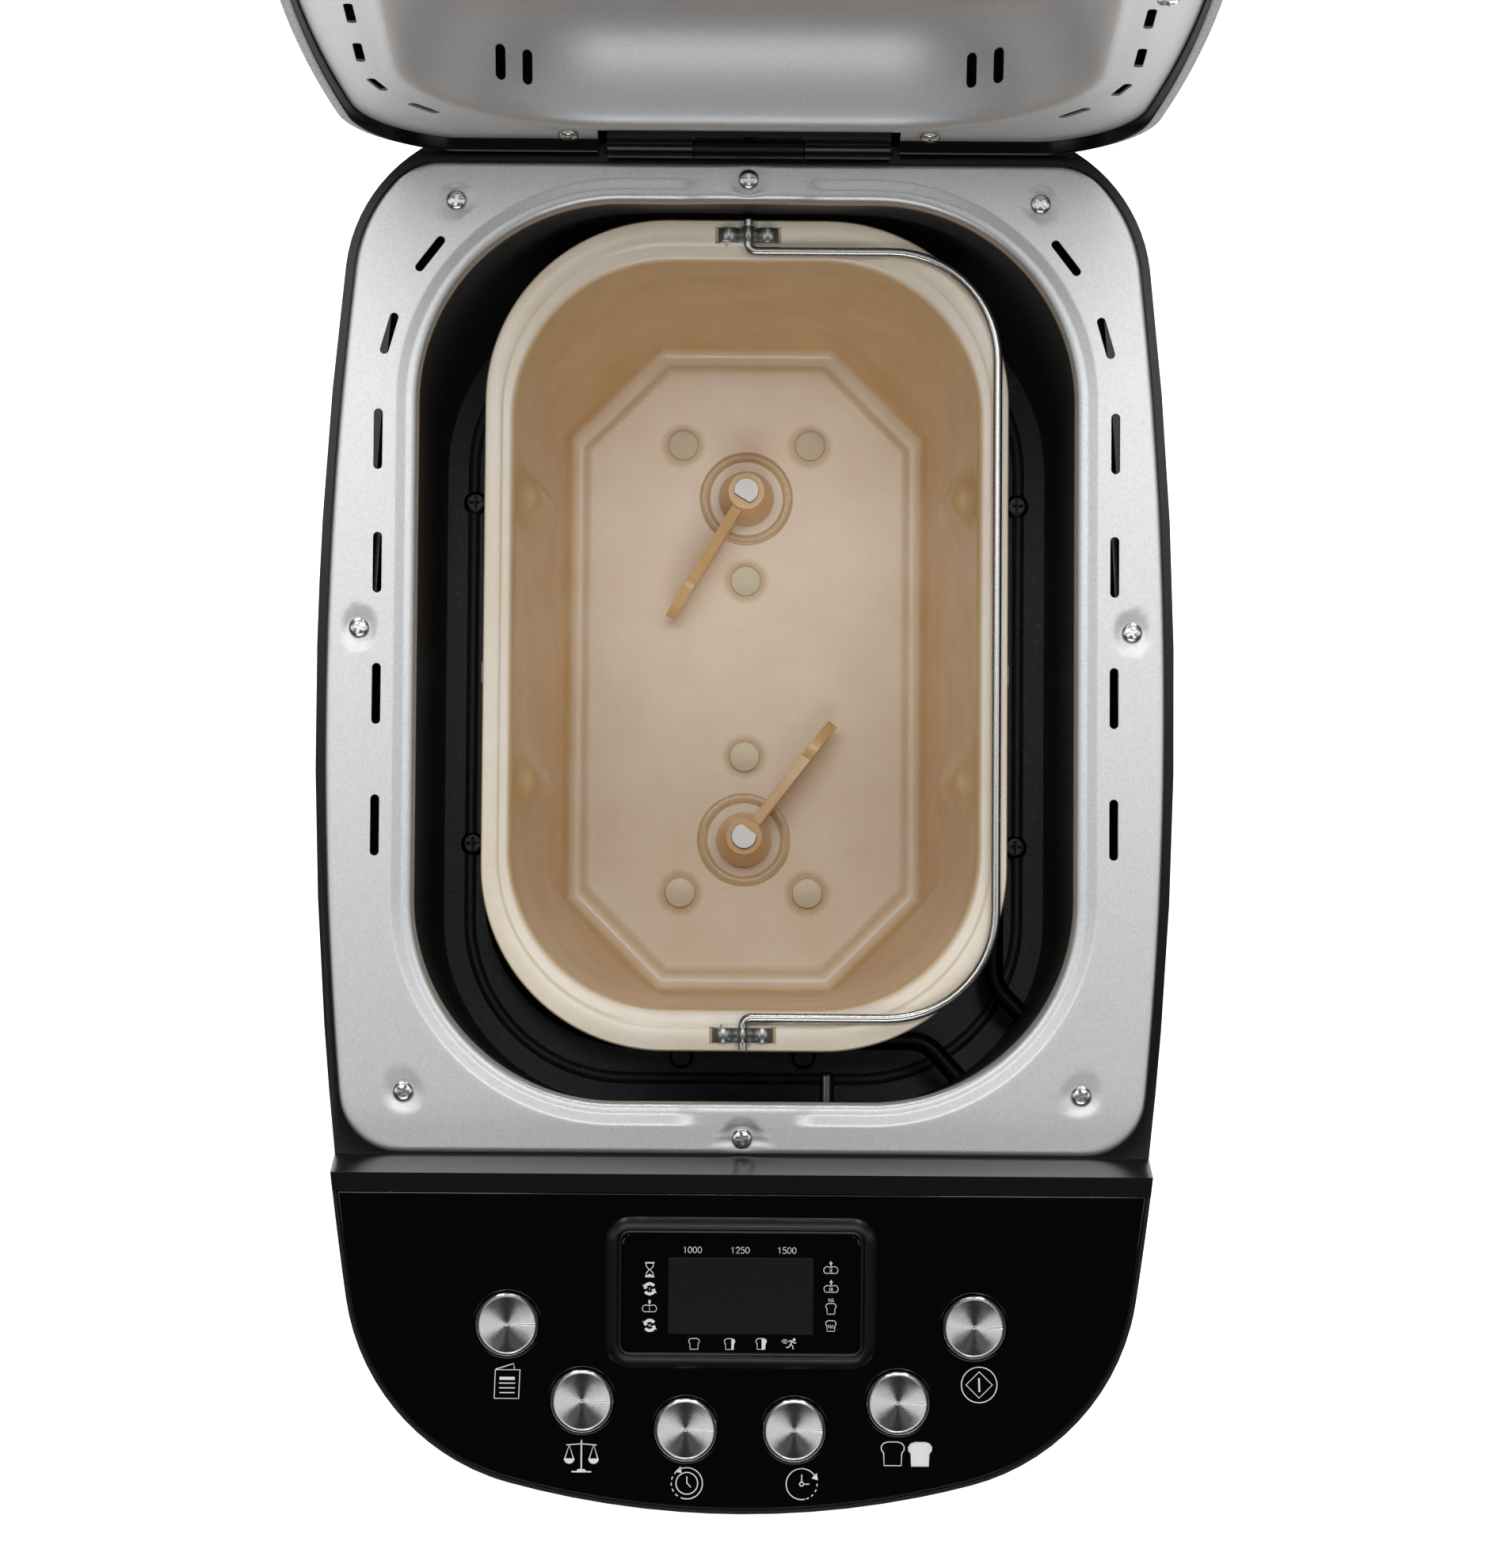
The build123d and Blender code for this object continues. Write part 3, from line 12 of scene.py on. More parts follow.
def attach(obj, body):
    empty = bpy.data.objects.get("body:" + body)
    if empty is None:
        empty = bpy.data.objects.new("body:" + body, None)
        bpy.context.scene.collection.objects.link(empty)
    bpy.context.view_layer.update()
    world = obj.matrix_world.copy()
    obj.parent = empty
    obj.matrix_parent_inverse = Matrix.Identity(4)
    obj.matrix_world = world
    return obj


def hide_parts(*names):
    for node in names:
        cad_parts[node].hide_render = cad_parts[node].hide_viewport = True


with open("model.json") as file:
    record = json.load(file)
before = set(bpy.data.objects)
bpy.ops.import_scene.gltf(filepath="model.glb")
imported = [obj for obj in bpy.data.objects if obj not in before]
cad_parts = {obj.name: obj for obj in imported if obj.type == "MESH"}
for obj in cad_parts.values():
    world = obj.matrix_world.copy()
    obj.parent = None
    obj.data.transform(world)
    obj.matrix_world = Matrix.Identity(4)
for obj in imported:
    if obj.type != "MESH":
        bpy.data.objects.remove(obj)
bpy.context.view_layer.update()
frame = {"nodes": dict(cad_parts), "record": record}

bl_info = {
    "name": "Bread Machine Pieces",
    "version": (1, 0, 0),
    "blender": (4, 5, 0),
    "location": "3D View > Sidebar > Bread Machine",
    "description": "Finished surfaces and materials for the bread machine",
    "category": "Object",
}

# Millimetres to metres. Plan positions are measured from the middle of the
# chamber's mouth, x to the right and y to the back; heights from the worktop.
MM = 0.001
CHAMBER_Y = 18.0
DECK_Z = 240.0
MOUTH = (102.5, 140.5, 63.0)
DECK = (130.3, 154.45, (20.0, 20.0, 19.0, 19.0), -2.05)
PAN_Y = 7.0
SHAFT_Y = 58.2
HINGE = (157.0, 245.0)
LID_OPEN = radians(95.0)
LINER_Z = 246.5
WINDOW = (48.0, 59.0, 14.0, -20.0)
# Bail wire: the height of its pivots above the worktop, and its reach from the pan's middle.
PIVOT_Z = 219.9
BAIL_X, BAIL_Y, BAIL_TIP_Y = 79.0, 121.0, 131.0
CLIP_Y = 126.4
PANEL_BACK = (-168.2, 265.0)
PANEL_TILT = radians(5.0)

DECK_SLOTS = (
    (99.2, 123.2, 13.4, 127.5),
    (111.7, 98.1, 13.4, 106.0),
    (114.8, 65.0, 19.0, 90.0),
    (114.6, 26.4, 19.0, 90.0),
    (114.5, -14.5, 19.0, 90.0),
    (114.5, -55.4, 19.0, 90.0),
)
SLOT_W = 2.8
DECK_SCREWS = np.array([
    (0.0, 147.2), (91.2, 140.1), (-91.2, 140.1), (120.0, 6.0), (-120.0, 6.0),
    (104.7, -137.7), (-104.7, -137.7), (0.0, -151.4),
])
LID_SCREWS = np.array([
    (56.0, 149.0), (-56.0, 149.0), (118.0, 6.0), (-118.0, 6.0), (60.0, -143.0), (-60.0, -143.0),
])
BUTTONS = {
    "menu": (-70.9, -208.1),
    "weight": (-48.0, -231.2),
    "time_down": (-16.5, -239.7),
    "time_up": (16.5, -239.7),
    "crust": (48.0, -231.2),
    "start": (70.9, -208.1),
}


# ---------------------------------------------------------------------------
# Places
# ---------------------------------------------------------------------------


def on_machine(points):
    """Plan millimetres to the frame's metres: y moves by the chamber's offset."""
    return (np.asarray(points, float) + (0.0, CHAMBER_Y, 0.0)) * MM


def on_lid(points):
    """Closed-lid millimetres to the open lid: a turn by minus 95 degrees about the hinge line."""
    points = np.asarray(points, float)
    y, z = points[:, 1] - HINGE[0], points[:, 2] - HINGE[1]
    out = np.empty_like(points)
    out[:, 0] = points[:, 0]
    out[:, 1] = HINGE[0] + y * cos(LID_OPEN) + z * sin(LID_OPEN)
    out[:, 2] = HINGE[1] - y * sin(LID_OPEN) + z * cos(LID_OPEN)
    return on_machine(out)


def on_panel(points):
    """Panel millimetres (plan x, plan y, height over the panel) to the panel, which slopes down to the front."""
    points = np.asarray(points, float)
    out = np.empty_like(points)
    slope = (points[:, 1] - PANEL_BACK[0]) * np.tan(PANEL_TILT)
    out[:, 0] = points[:, 0]
    out[:, 1] = points[:, 1] - points[:, 2] * sin(PANEL_TILT)
    out[:, 2] = PANEL_BACK[1] + slope + points[:, 2] * cos(PANEL_TILT)
    return on_machine(out)


# ---------------------------------------------------------------------------
# Outlines: each is a closed loop of points with the same count and order
# ---------------------------------------------------------------------------

CORNER, ACROSS, ALONG = 30, 60, 90
LOOP = 4 * (CORNER + 1) + 2 * (ACROSS + ALONG)


def joined(corners):
    """Four corner runs joined by straight runs: each side divides the gap between two corners evenly."""
    loop = []
    for k in range(4):
        here, after = corners[k], corners[(k + 1) % 4]
        count = (ACROSS, ALONG)[k % 2]
        s = np.linspace(0, 1, count + 2)[1:-1, None]
        loop += [here, here[-1] * (1 - s) + after[0] * s]
    return np.vstack(loop)


def rounded(half_x, half_y, r, mid_y=0.0):
    """Rounded rectangle: a quarter circle of radius r about each corner's centre, joined by straight sides."""
    radii = np.broadcast_to(r, 4)
    t = np.linspace(0, pi / 2, CORNER + 1)
    corners = []
    for k, (sx, sy) in enumerate(((1, 1), (-1, 1), (-1, -1), (1, -1))):
        a = t + k * pi / 2
        centre = np.array([sx * (half_x - radii[k]), mid_y + sy * (half_y - radii[k])])
        corners.append(centre + radii[k] * np.c_[np.cos(a), np.sin(a)])
    return joined(corners)


def octagon(half_x, half_y, chamfer):
    """Rectangle with straight chamfers: each corner run is the line across the cut corner."""
    s = np.linspace(0, 1, CORNER + 1)[:, None]
    corners = []
    for sx, sy, turn in ((1, 1, 0), (-1, 1, 1), (-1, -1, 0), (1, -1, 1)):
        side = np.array([sx * half_x, sy * (half_y - chamfer)])
        end = np.array([sx * (half_x - chamfer), sy * half_y])
        first, last = (end, side) if turn else (side, end)
        corners.append(first * (1 - s) + last * s)
    return joined(corners)


def arc_from(start, heading, end, count):
    """Circle arc that leaves start along heading and passes end: the centre lies square to the heading."""
    start, end = np.array(start, float), np.array(end, float)
    left = np.array([-heading[1], heading[0]])
    chord = end - start
    r = chord @ chord / (2 * chord @ left)
    centre = start + r * left
    a0 = np.arctan2(*(start - centre)[::-1])
    a1 = np.arctan2(*(end - centre)[::-1])
    a = a0 + np.linspace(0, (a1 - a0) % (2 * pi), count)
    points = centre + r * np.c_[np.cos(a), np.sin(a)]
    return points, np.c_[np.cos(a), np.sin(a)]


def body_line(inset, back_y=164.0, front_y=-265.5, back_r=0.0, front_r=0.0, count=400):
    """The body seen from above: four tangent arcs a side, moved in by inset, cut at back_y and front_y with
    rounded corners. Each rounded corner is an arc of its radius that touches the side and the straight end."""
    stops = ((70.3, -256.3), (120.0, -200.5), (125.4, 119.5), (75.5, 164.0))
    start, heading = (0.0, -265.5), np.array([1.0, 0.0])
    runs = []
    for stop in stops:
        points, normals = arc_from(start, heading, stop, 160)
        runs.append(points - inset * normals)
        heading = np.array([-normals[-1][1], normals[-1][0]])
        start = stop
    half = np.vstack(runs)
    half = half[(half[:, 1] < back_y) & (half[:, 1] > front_y)]
    ends = []
    for y, r, at in ((front_y, front_r, 0), (back_y, back_r, -1)):
        if r > 0:
            ends.append((y, r, at))
    if front_r:
        half = rounded_end(half, front_y, front_r, -1)
    else:
        half = half if half[0, 0] < 1 else np.vstack([[half[0, 0], front_y], half])
    if back_r:
        half = rounded_end(half[::-1], back_y, back_r, 1)[::-1]
    else:
        top = min(back_y, 164.0 - inset)
        half = np.vstack([half[half[:, 1] < top], [[half[half[:, 1] < top][-1, 0], top]]])
    whole = np.vstack([half, half[::-1] * (-1, 1)])
    return even(whole, count)


def rounded_end(side, end_y, r, sign):
    """Joins a side line to a straight end at end_y by a quarter-like arc of radius r that touches both."""
    inner = side.copy()
    slope = np.gradient(side, axis=0)
    slope /= np.linalg.norm(slope, axis=1)[:, None]
    normal = np.c_[slope[:, 1], -slope[:, 0]]
    normal *= np.sign(normal[:, :1])
    inner = side - r * normal
    k = int(np.argmin(np.abs(inner[:, 1] - (end_y - sign * r))))
    centre = np.array([inner[k, 0], end_y - sign * r])
    a0, a1 = np.arctan2(*normal[k][::-1]), sign * pi / 2
    a = np.linspace(a1, a0, 40)
    arc = centre + r * np.c_[np.cos(a), np.sin(a)]
    rest = side[k:] if abs(side[0, 1] - end_y) < abs(side[-1, 1] - end_y) else side[: k + 1]
    return np.vstack([arc, rest[1:]])


def even(loop, count):
    """The same closed loop walked in equal steps."""
    closed = np.vstack([loop, loop[:1]])
    step = np.linalg.norm(np.diff(closed, axis=0), axis=1)
    keep = np.r_[True, step > 1e-6]
    closed = closed[keep]
    run = np.r_[0, np.cumsum(np.linalg.norm(np.diff(closed, axis=0), axis=1))]
    s = np.linspace(0, run[-1], count + 1)[:-1]
    return np.c_[np.interp(s, run, closed[:, 0]), np.interp(s, run, closed[:, 1])]


def moved_out(loop, by):
    """Each point of an anticlockwise loop moved out square to the loop."""
    ahead = np.roll(loop, -1, axis=0) - np.roll(loop, 1, axis=0)
    ahead /= np.linalg.norm(ahead, axis=1)[:, None]
    return loop + by * np.c_[ahead[:, 1], -ahead[:, 0]]


def ring(loop, z):
    """A loop at height z, which may be one number or one for each point."""
    return np.c_[loop, np.broadcast_to(z, len(loop))]


# ---------------------------------------------------------------------------
# Meshes
# ---------------------------------------------------------------------------


def skin(rings, cap_first=False, cap_last=False, closed=False):
    """Quads between neighbouring rings of equal count; a cap is one face, closed joins last to first."""
    rings = np.asarray(rings, float)
    m, n, _ = rings.shape
    index = np.arange(m * n).reshape(m, n)
    if closed:
        index = np.vstack([index, index[:1]])
    right = np.roll(index, -1, axis=1)
    quads = np.stack([index[:-1], right[:-1], right[1:], index[1:]], axis=-1).reshape(-1, 4)
    faces = quads.tolist()
    if cap_first:
        faces.append(index[0][::-1].tolist())
    if cap_last:
        faces.append(index[-1].tolist())
    return rings.reshape(-1, 3), faces


def walled(rings, wall):
    """A wall of even thickness: the surface, and its copy moved back square to it, joined along both rims."""
    rings = np.asarray(rings, float)
    normal = np.cross(np.gradient(rings, axis=0), np.roll(rings, -1, axis=1) - np.roll(rings, 1, axis=1))
    normal /= np.linalg.norm(normal, axis=2)[:, :, None] + 1e-12
    return skin(np.concatenate([rings, (rings - wall * normal)[::-1]]), closed=True)


def revolved(profile, centre, count=64):
    """A profile of (radius, height) rows turned about the vertical through centre; zero radii are closed."""
    a = np.linspace(0, 2 * pi, count, endpoint=False)
    circle = np.c_[np.cos(a), np.sin(a)]
    rings = [np.c_[centre[0] + r * circle[:, 0], centre[1] + r * circle[:, 1], np.full(count, h)] for r, h in profile]
    return skin(rings, cap_first=True, cap_last=True)


def tube(path, r, count=20):
    """A circle of radius r carried along a path: its plane is square to the path and turns the least it can."""
    path = np.asarray(path, float)
    ahead = np.gradient(path, axis=0)
    ahead /= np.linalg.norm(ahead, axis=1)[:, None]
    side = np.cross(ahead, (0.0, 0.0, 1.0))
    side /= np.linalg.norm(side, axis=1)[:, None] + 1e-12
    up = np.cross(side, ahead)
    a = np.linspace(0, 2 * pi, count, endpoint=False)
    ends = np.broadcast_to(r, len(path))
    rings = path[:, None] + ends[:, None, None] * (
        np.cos(a)[None, :, None] * side[:, None] + np.sin(a)[None, :, None] * up[:, None]
    )
    return skin(rings, cap_first=True, cap_last=True)


def bent(points, radii, step=1.0):
    """A polyline with each corner replaced by an arc that touches both runs, sampled evenly."""
    points = np.asarray(points, float)
    out = [points[0]]
    for k in range(1, len(points) - 1):
        a, b, c = points[k - 1], points[k], points[k + 1]
        u, v = (a - b) / np.linalg.norm(a - b), (c - b) / np.linalg.norm(c - b)
        half = 0.5 * np.arccos(np.clip(u @ v, -1, 1))
        r = radii[k - 1]
        reach = r / np.tan(half)
        centre = b + (u + v) / np.linalg.norm(u + v) * r / sin(half)
        p, q = b + u * reach - centre, b + v * reach - centre
        turn = np.arccos(np.clip(p @ q / r**2, -1, 1))
        t = np.linspace(0, 1, 14)[:, None]
        out += list(centre + (np.sin((1 - t) * turn) * p + np.sin(t * turn) * q) / sin(turn))
    out.append(points[-1])
    out = np.array(out)
    run = np.r_[0, np.cumsum(np.linalg.norm(np.diff(out, axis=0), axis=1))]
    s = np.linspace(0, run[-1], max(8, int(run[-1] / step)))
    return np.stack([np.interp(s, run, out[:, k]) for k in range(3)], axis=1)


def together(*parts):
    """Several (points, faces) pairs as one."""
    points, faces, base = [], [], 0
    for p, f in parts:
        points.append(p)
        faces += [[v + base for v in face] for face in f]
        base += len(p)
    return np.vstack(points), faces


def piece(name, shape, body, finish, nodes=(), sharp=40.0):
    """One finished object from (points in metres, faces): it rides, takes its slot and material, and may
    stand for CAD nodes."""
    points, faces = shape
    mesh = bpy.data.meshes.new(name)
    mesh.from_pydata(points.tolist(), [], faces)
    obj = bpy.data.objects.new(name, mesh)
    bpy.context.scene.collection.objects.link(obj)
    outwards(mesh)
    mesh.shade_smooth()
    mesh.set_sharp_from_angle(angle=radians(sharp))
    mesh.materials.append(finish)
    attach(obj, body)
    if nodes:
        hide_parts(*nodes)
    return obj


def outwards(mesh):
    """Doubles merged, then every face turned to point out."""
    work = bmesh.new()
    work.from_mesh(mesh)
    bmesh.ops.remove_doubles(work, verts=work.verts, dist=1e-7)
    bmesh.ops.recalc_face_normals(work, faces=work.faces)
    work.to_mesh(mesh)
    work.free()


def cut(obj, points, faces):
    """Takes the closed shapes away from a piece, with its other modifiers applied first."""
    mesh = bpy.data.meshes.new("cutter")
    mesh.from_pydata(points.tolist(), [], faces)
    outwards(mesh)
    cutter = bpy.data.objects.new("cutter", mesh)
    bpy.context.scene.collection.objects.link(cutter)
    bool_mod = obj.modifiers.new("cut", "BOOLEAN")
    bool_mod.operation, bool_mod.solver, bool_mod.object = "DIFFERENCE", "MANIFOLD", cutter
    graph = bpy.context.evaluated_depsgraph_get()
    done = bpy.data.meshes.new_from_object(obj.evaluated_get(graph))
    obj.modifiers.clear()
    obj.data = done
    bpy.data.objects.remove(cutter)
    done.set_sharp_from_angle(angle=radians(40))


def soft_copy(node, body, finish, width, sharp=30.0, segments=3):
    """A CAD node with its edges softened: doubles merged, flat faces joined, sharp edges bevelled."""
    source = frame["nodes"][node]
    mesh = source.data.copy()
    mesh.name = node + "_soft"
    work = bmesh.new()
    work.from_mesh(mesh)
    bmesh.ops.remove_doubles(work, verts=work.verts, dist=2e-6)
    bmesh.ops.dissolve_limit(work, angle_limit=radians(1.0), verts=work.verts, edges=work.edges)
    work.to_mesh(mesh)
    work.free()
    obj = bpy.data.objects.new(node + "_soft", mesh)
    bpy.context.scene.collection.objects.link(obj)
    edge = obj.modifiers.new("edge", "BEVEL")
    edge.width, edge.segments, edge.limit_method = width * MM, segments, "ANGLE"
    edge.angle_limit = radians(sharp)
    edge.use_clamp_overlap = True
    mesh.shade_smooth()
    mesh.set_sharp_from_angle(angle=radians(sharp))
    mesh.materials.clear()
    mesh.materials.append(finish)
    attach(obj, body)
    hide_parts(node)
    return obj


def slot_prisms(slots, bottom, top, grow=0.0, count=12):
    """Upright prisms whose section is two half circles joined by straight sides."""
    parts = []
    for x, y, length, lean in slots:
        a = np.linspace(-pi / 2, pi / 2, count)
        r, half = SLOT_W / 2 + grow, (length - SLOT_W) / 2
        right = np.c_[half + r * np.cos(a), r * np.sin(a)]
        loop = np.vstack([right, -right])
        c, s = cos(radians(lean)), sin(radians(lean))
        loop = loop @ np.array([[c, s], [-s, c]]) + (x, y)
        parts.append(skin([ring(loop, bottom), ring(loop, top)], True, True))
    return together(*parts)


def holes(places, r, bottom, top, count=24):
    """Upright cylinders that cut round holes."""
    return together(*[revolved([(r, bottom), (r, top)], place, count) for place in places])


def both_sides(slots):
    """Right-hand slots and their left-hand twins."""
    return [*slots, *[(-x, y, length, 180 - lean) for x, y, length, lean in slots]]


def smooth(x, low, high):
    """Smooth step: 0 below low, 1 above high, a cubic between."""
    t = np.clip((x - low) / (high - low), 0, 1)
    return t * t * (3 - 2 * t)


# ---------------------------------------------------------------------------
# Materials
# ---------------------------------------------------------------------------


def linear(code, alpha=1.0):
    """An sRGB hex colour as linear RGBA; a colour property is linear already and only gains its alpha."""
    if not isinstance(code, str):
        return (*code, alpha)
    rgb = np.array([int(code[k:k + 2], 16) for k in (1, 3, 5)]) / 255
    out = np.where(rgb <= 0.04045, rgb / 12.92, ((rgb + 0.055) / 1.055) ** 2.4)
    return (*out.tolist(), alpha)


def add(tree, kind, inputs=(), **settings):
    """One node with its settings; an input is a value or another node's output."""
    node = tree.nodes.new(kind)
    for key, value in settings.items():
        setattr(node, key, value)
    for key, value in dict(inputs).items():
        if isinstance(value, bpy.types.NodeSocket):
            tree.links.new(value, node.inputs[key])
        else:
            node.inputs[key].default_value = value
    return node


def ramp(tree, factor, stops, mode="LINEAR"):
    """A colour ramp with (position, hex) stops."""
    node = add(tree, "ShaderNodeValToRGB", {"Fac": factor})
    node.color_ramp.interpolation = mode
    elements = node.color_ramp.elements
    while len(elements) < len(stops):
        elements.new(0.5)
    for element, (position, code) in zip(elements, stops):
        element.position, element.color = position, linear(code)
    return node.outputs["Color"]


def finish_of(name, colour, rough, metallic=0.0, **more):
    """A Principled material; more holds the shader's own uniform sockets, spelled with underscores."""
    material = bpy.data.materials.new(name)
    material.use_nodes = True
    tree = material.node_tree
    shader = tree.nodes["Principled BSDF"]
    shader.inputs["Base Color"].default_value = linear(colour)
    shader.inputs["Roughness"].default_value = rough
    shader.inputs["Metallic"].default_value = metallic
    for key, value in more.items():
        shader.inputs[key.replace("_", " ")].default_value = value
    material.diffuse_color = linear(colour)
    return material, tree, shader


def place_of(tree):
    """Object coordinates in metres."""
    return add(tree, "ShaderNodeTexCoord").outputs["Object"]


def grain(tree, shader, size_mm, strength, depth_mm=0.05, detail=2.0, rough=None):
    """Fine unevenness: noise whose cells are size_mm across drives bump, and roughness between two values."""
    noise = add(tree, "ShaderNodeTexNoise",
                {"Vector": place_of(tree), "Scale": 1 / (size_mm * MM), "Detail": detail})
    bump = add(tree, "ShaderNodeBump",
               {"Height": noise.outputs["Fac"], "Strength": strength, "Distance": depth_mm * MM})
    tree.links.new(bump.outputs["Normal"], shader.inputs["Normal"])
    if rough:
        spread = add(tree, "ShaderNodeMapRange",
                     {"Value": noise.outputs["Fac"], "To Min": rough[0], "To Max": rough[1]})
        tree.links.new(spread.outputs["Result"], shader.inputs["Roughness"])
    return noise


def flakes(tree, size_mm, share):
    """Metal flakes: cells size_mm across, of which a share is lit, as a 0 to 1 factor."""
    cells = add(tree, "ShaderNodeTexVoronoi", {"Vector": place_of(tree), "Scale": 1 / (size_mm * MM)})
    split = add(tree, "ShaderNodeSeparateColor", {"Color": cells.outputs["Color"]})
    lit = add(tree, "ShaderNodeMapRange", {"Value": split.outputs["Red"], "From Min": 1 - share, "From Max": 1.0})
    return lit.outputs["Result"]


def moulded_abs(colour):
    """Moulded black ABS with a fine spark texture: nearly black, satin, soft broad highlights."""
    material, tree, shader = finish_of("moulded black ABS", colour, 0.24, IOR=1.52, Specular_IOR_Level=0.25)
    grain(tree, shader, 0.5, 0.1, rough=(0.2, 0.3))
    return material


def gloss_acrylic():
    """Polished black acrylic face: black with a sharp clear reflection."""
    material, tree, shader = finish_of("polished black acrylic", "#030303", 0.1, IOR=1.49)
    grain(tree, shader, 30.0, 0.04, depth_mm=0.2, rough=(0.07, 0.13))
    return material


def silver_paint(name, base, rough, metallic):
    """Silver paint sprayed over pressed steel: metal flakes under a satin coat, so it is bright and faintly
    grainy; flakes are really 0.05 mm and are drawn 0.4 mm across so that they show."""
    material, tree, shader = finish_of(name, base, rough, metallic)
    lit = flakes(tree, 0.4, 1.0)
    some = add(tree, "ShaderNodeMath", {0: lit, 1: 0.28}, operation="MULTIPLY")
    grain(tree, shader, 0.45, 0.14, depth_mm=0.05, detail=2.0, rough=(rough - 0.05, rough + 0.05))
    mix = add(tree, "ShaderNodeMix", {"Factor": some.outputs[0], 6: linear(base), 7: linear("#f2f3f4")},
              data_type="RGBA")
    tree.links.new(mix.outputs[2], shader.inputs["Base Color"])
    return material


def enamel(colour):
    """Dark non-stick enamel of the oven chamber: charcoal, semi-matt, with fine grey specks."""
    material, tree, shader = finish_of("dark speckled enamel", "#4a4a4c", 0.4, 0.35, IOR=1.5)
    lit = flakes(tree, 0.4, 0.08)
    mix = add(tree, "ShaderNodeMix", {"Factor": lit, 6: linear(colour), 7: linear("#7d7d7f")}, data_type="RGBA")
    tree.links.new(mix.outputs[2], shader.inputs["Base Color"])
    grain(tree, shader, 0.8, 0.3, depth_mm=0.08, rough=(0.36, 0.52))
    return material


def ceramic(name, shaded_fittings):
    """Beige ceramic non-stick sprayed on aluminium, with painted light: a tan painted shade on the walls, a pale
    painted light on what faces up with pale specks there as painted glints, and where asked a tan painted shade round
    each shaft bead and rivet on the floor."""
    material, tree, shader = finish_of(name, "#c9b79c", 0.34, 0.0, IOR=1.5, Coat_Weight=0.35, Coat_Roughness=0.18)
    spot = place_of(tree)
    lit = flakes(tree, 0.38, 0.09)
    # Painted light: how far the surface faces up mixes the tan colours (thin), painted shade on the walls, with the
    # pale ones (thick), painted light on what faces up.
    face = add(tree, "ShaderNodeAttribute", attribute_name="facing_light")
    cloud = add(tree, "ShaderNodeTexNoise", {"Vector": spot, "Scale": 38.0, "Detail": 3.0, "Roughness": 0.6})
    thin = ramp(tree, cloud.outputs["Fac"], ((0.3, "#dab379"), (0.7, "#e8c894")))
    thick = ramp(tree, cloud.outputs["Fac"], ((0.3, "#efdfc6"), (0.7, "#f5ead9")))
    base = add(tree, "ShaderNodeMix", {"Factor": face.outputs["Fac"], 6: thin, 7: thick}, data_type="RGBA")
    colour = base.outputs[2]
    # Painted shade: a tan ring round each shaft bead and a tan patch round each rivet, on the floor only, where shade
    # falls round the raised fittings.
    if shaded_fittings:
        local = add(tree, "ShaderNodeMapping", {"Vector": spot, "Location": (0, -(PAN_Y + CHAMBER_Y) * MM, 0)})
        folded = add(tree, "ShaderNodeVectorMath", {0: local.outputs[0]}, operation="ABSOLUTE")
        flat = add(tree, "ShaderNodeVectorMath", {0: folded.outputs[0], 1: (1.0, 1.0, 0.0)}, operation="MULTIPLY")
        low = add(tree, "ShaderNodeSeparateXYZ", {0: local.outputs[0]})
        floor_only = add(tree, "ShaderNodeMath", {0: low.outputs["Z"], 1: 0.0905}, operation="LESS_THAN")
        wobble = add(tree, "ShaderNodeMath", {0: cloud.outputs["Fac"], 1: 0.002}, operation="MULTIPLY")
        marks = []
        for centre, inner, outer, soft in (
            ((0.0, SHAFT_Y), 12.4, 15.8, 0.5),
            ((21.6, SHAFT_Y + 18.1), 0.0, 7.0, 1.6),
            ((0.0, SHAFT_Y - 28.2), 0.0, 7.0, 1.6),
        ):
            away = add(tree, "ShaderNodeVectorMath",
                       {0: flat.outputs[0], 1: (centre[0] * MM, centre[1] * MM, 0.0)}, operation="DISTANCE")
            near = add(tree, "ShaderNodeMath", {0: away.outputs["Value"], 1: wobble.outputs[0]}, operation="ADD")
            inside = add(tree, "ShaderNodeMapRange", {
                "Value": near.outputs[0], "From Min": (outer - soft + 1) * MM, "From Max": (outer + soft + 1) * MM,
                "To Min": 1.0, "To Max": 0.0}, interpolation_type="SMOOTHSTEP")
            fitting_shade = inside.outputs["Result"]
            if inner:
                hollow = add(tree, "ShaderNodeMapRange", {
                    "Value": near.outputs[0], "From Min": (inner - soft + 1) * MM,
                    "From Max": (inner + soft + 1) * MM}, interpolation_type="SMOOTHSTEP")
                fitting_shade = add(tree, "ShaderNodeMath", {0: fitting_shade, 1: hollow.outputs["Result"]},
                           operation="MULTIPLY").outputs[0]
            marks.append(fitting_shade)
        most = add(tree, "ShaderNodeMath", {0: marks[0], 1: marks[1]}, operation="MAXIMUM")
        most = add(tree, "ShaderNodeMath", {0: most.outputs[0], 1: marks[2]}, operation="MAXIMUM")
        most = add(tree, "ShaderNodeMath", {0: most.outputs[0], 1: floor_only.outputs[0]}, operation="MULTIPLY")
        most = add(tree, "ShaderNodeMath", {0: most.outputs[0], 1: 0.85}, operation="MULTIPLY")
        tan = add(tree, "ShaderNodeMix", {"Factor": most.outputs[0], 6: colour, 7: linear("#cdb083")},
                  data_type="RGBA")
        colour = tan.outputs[2]
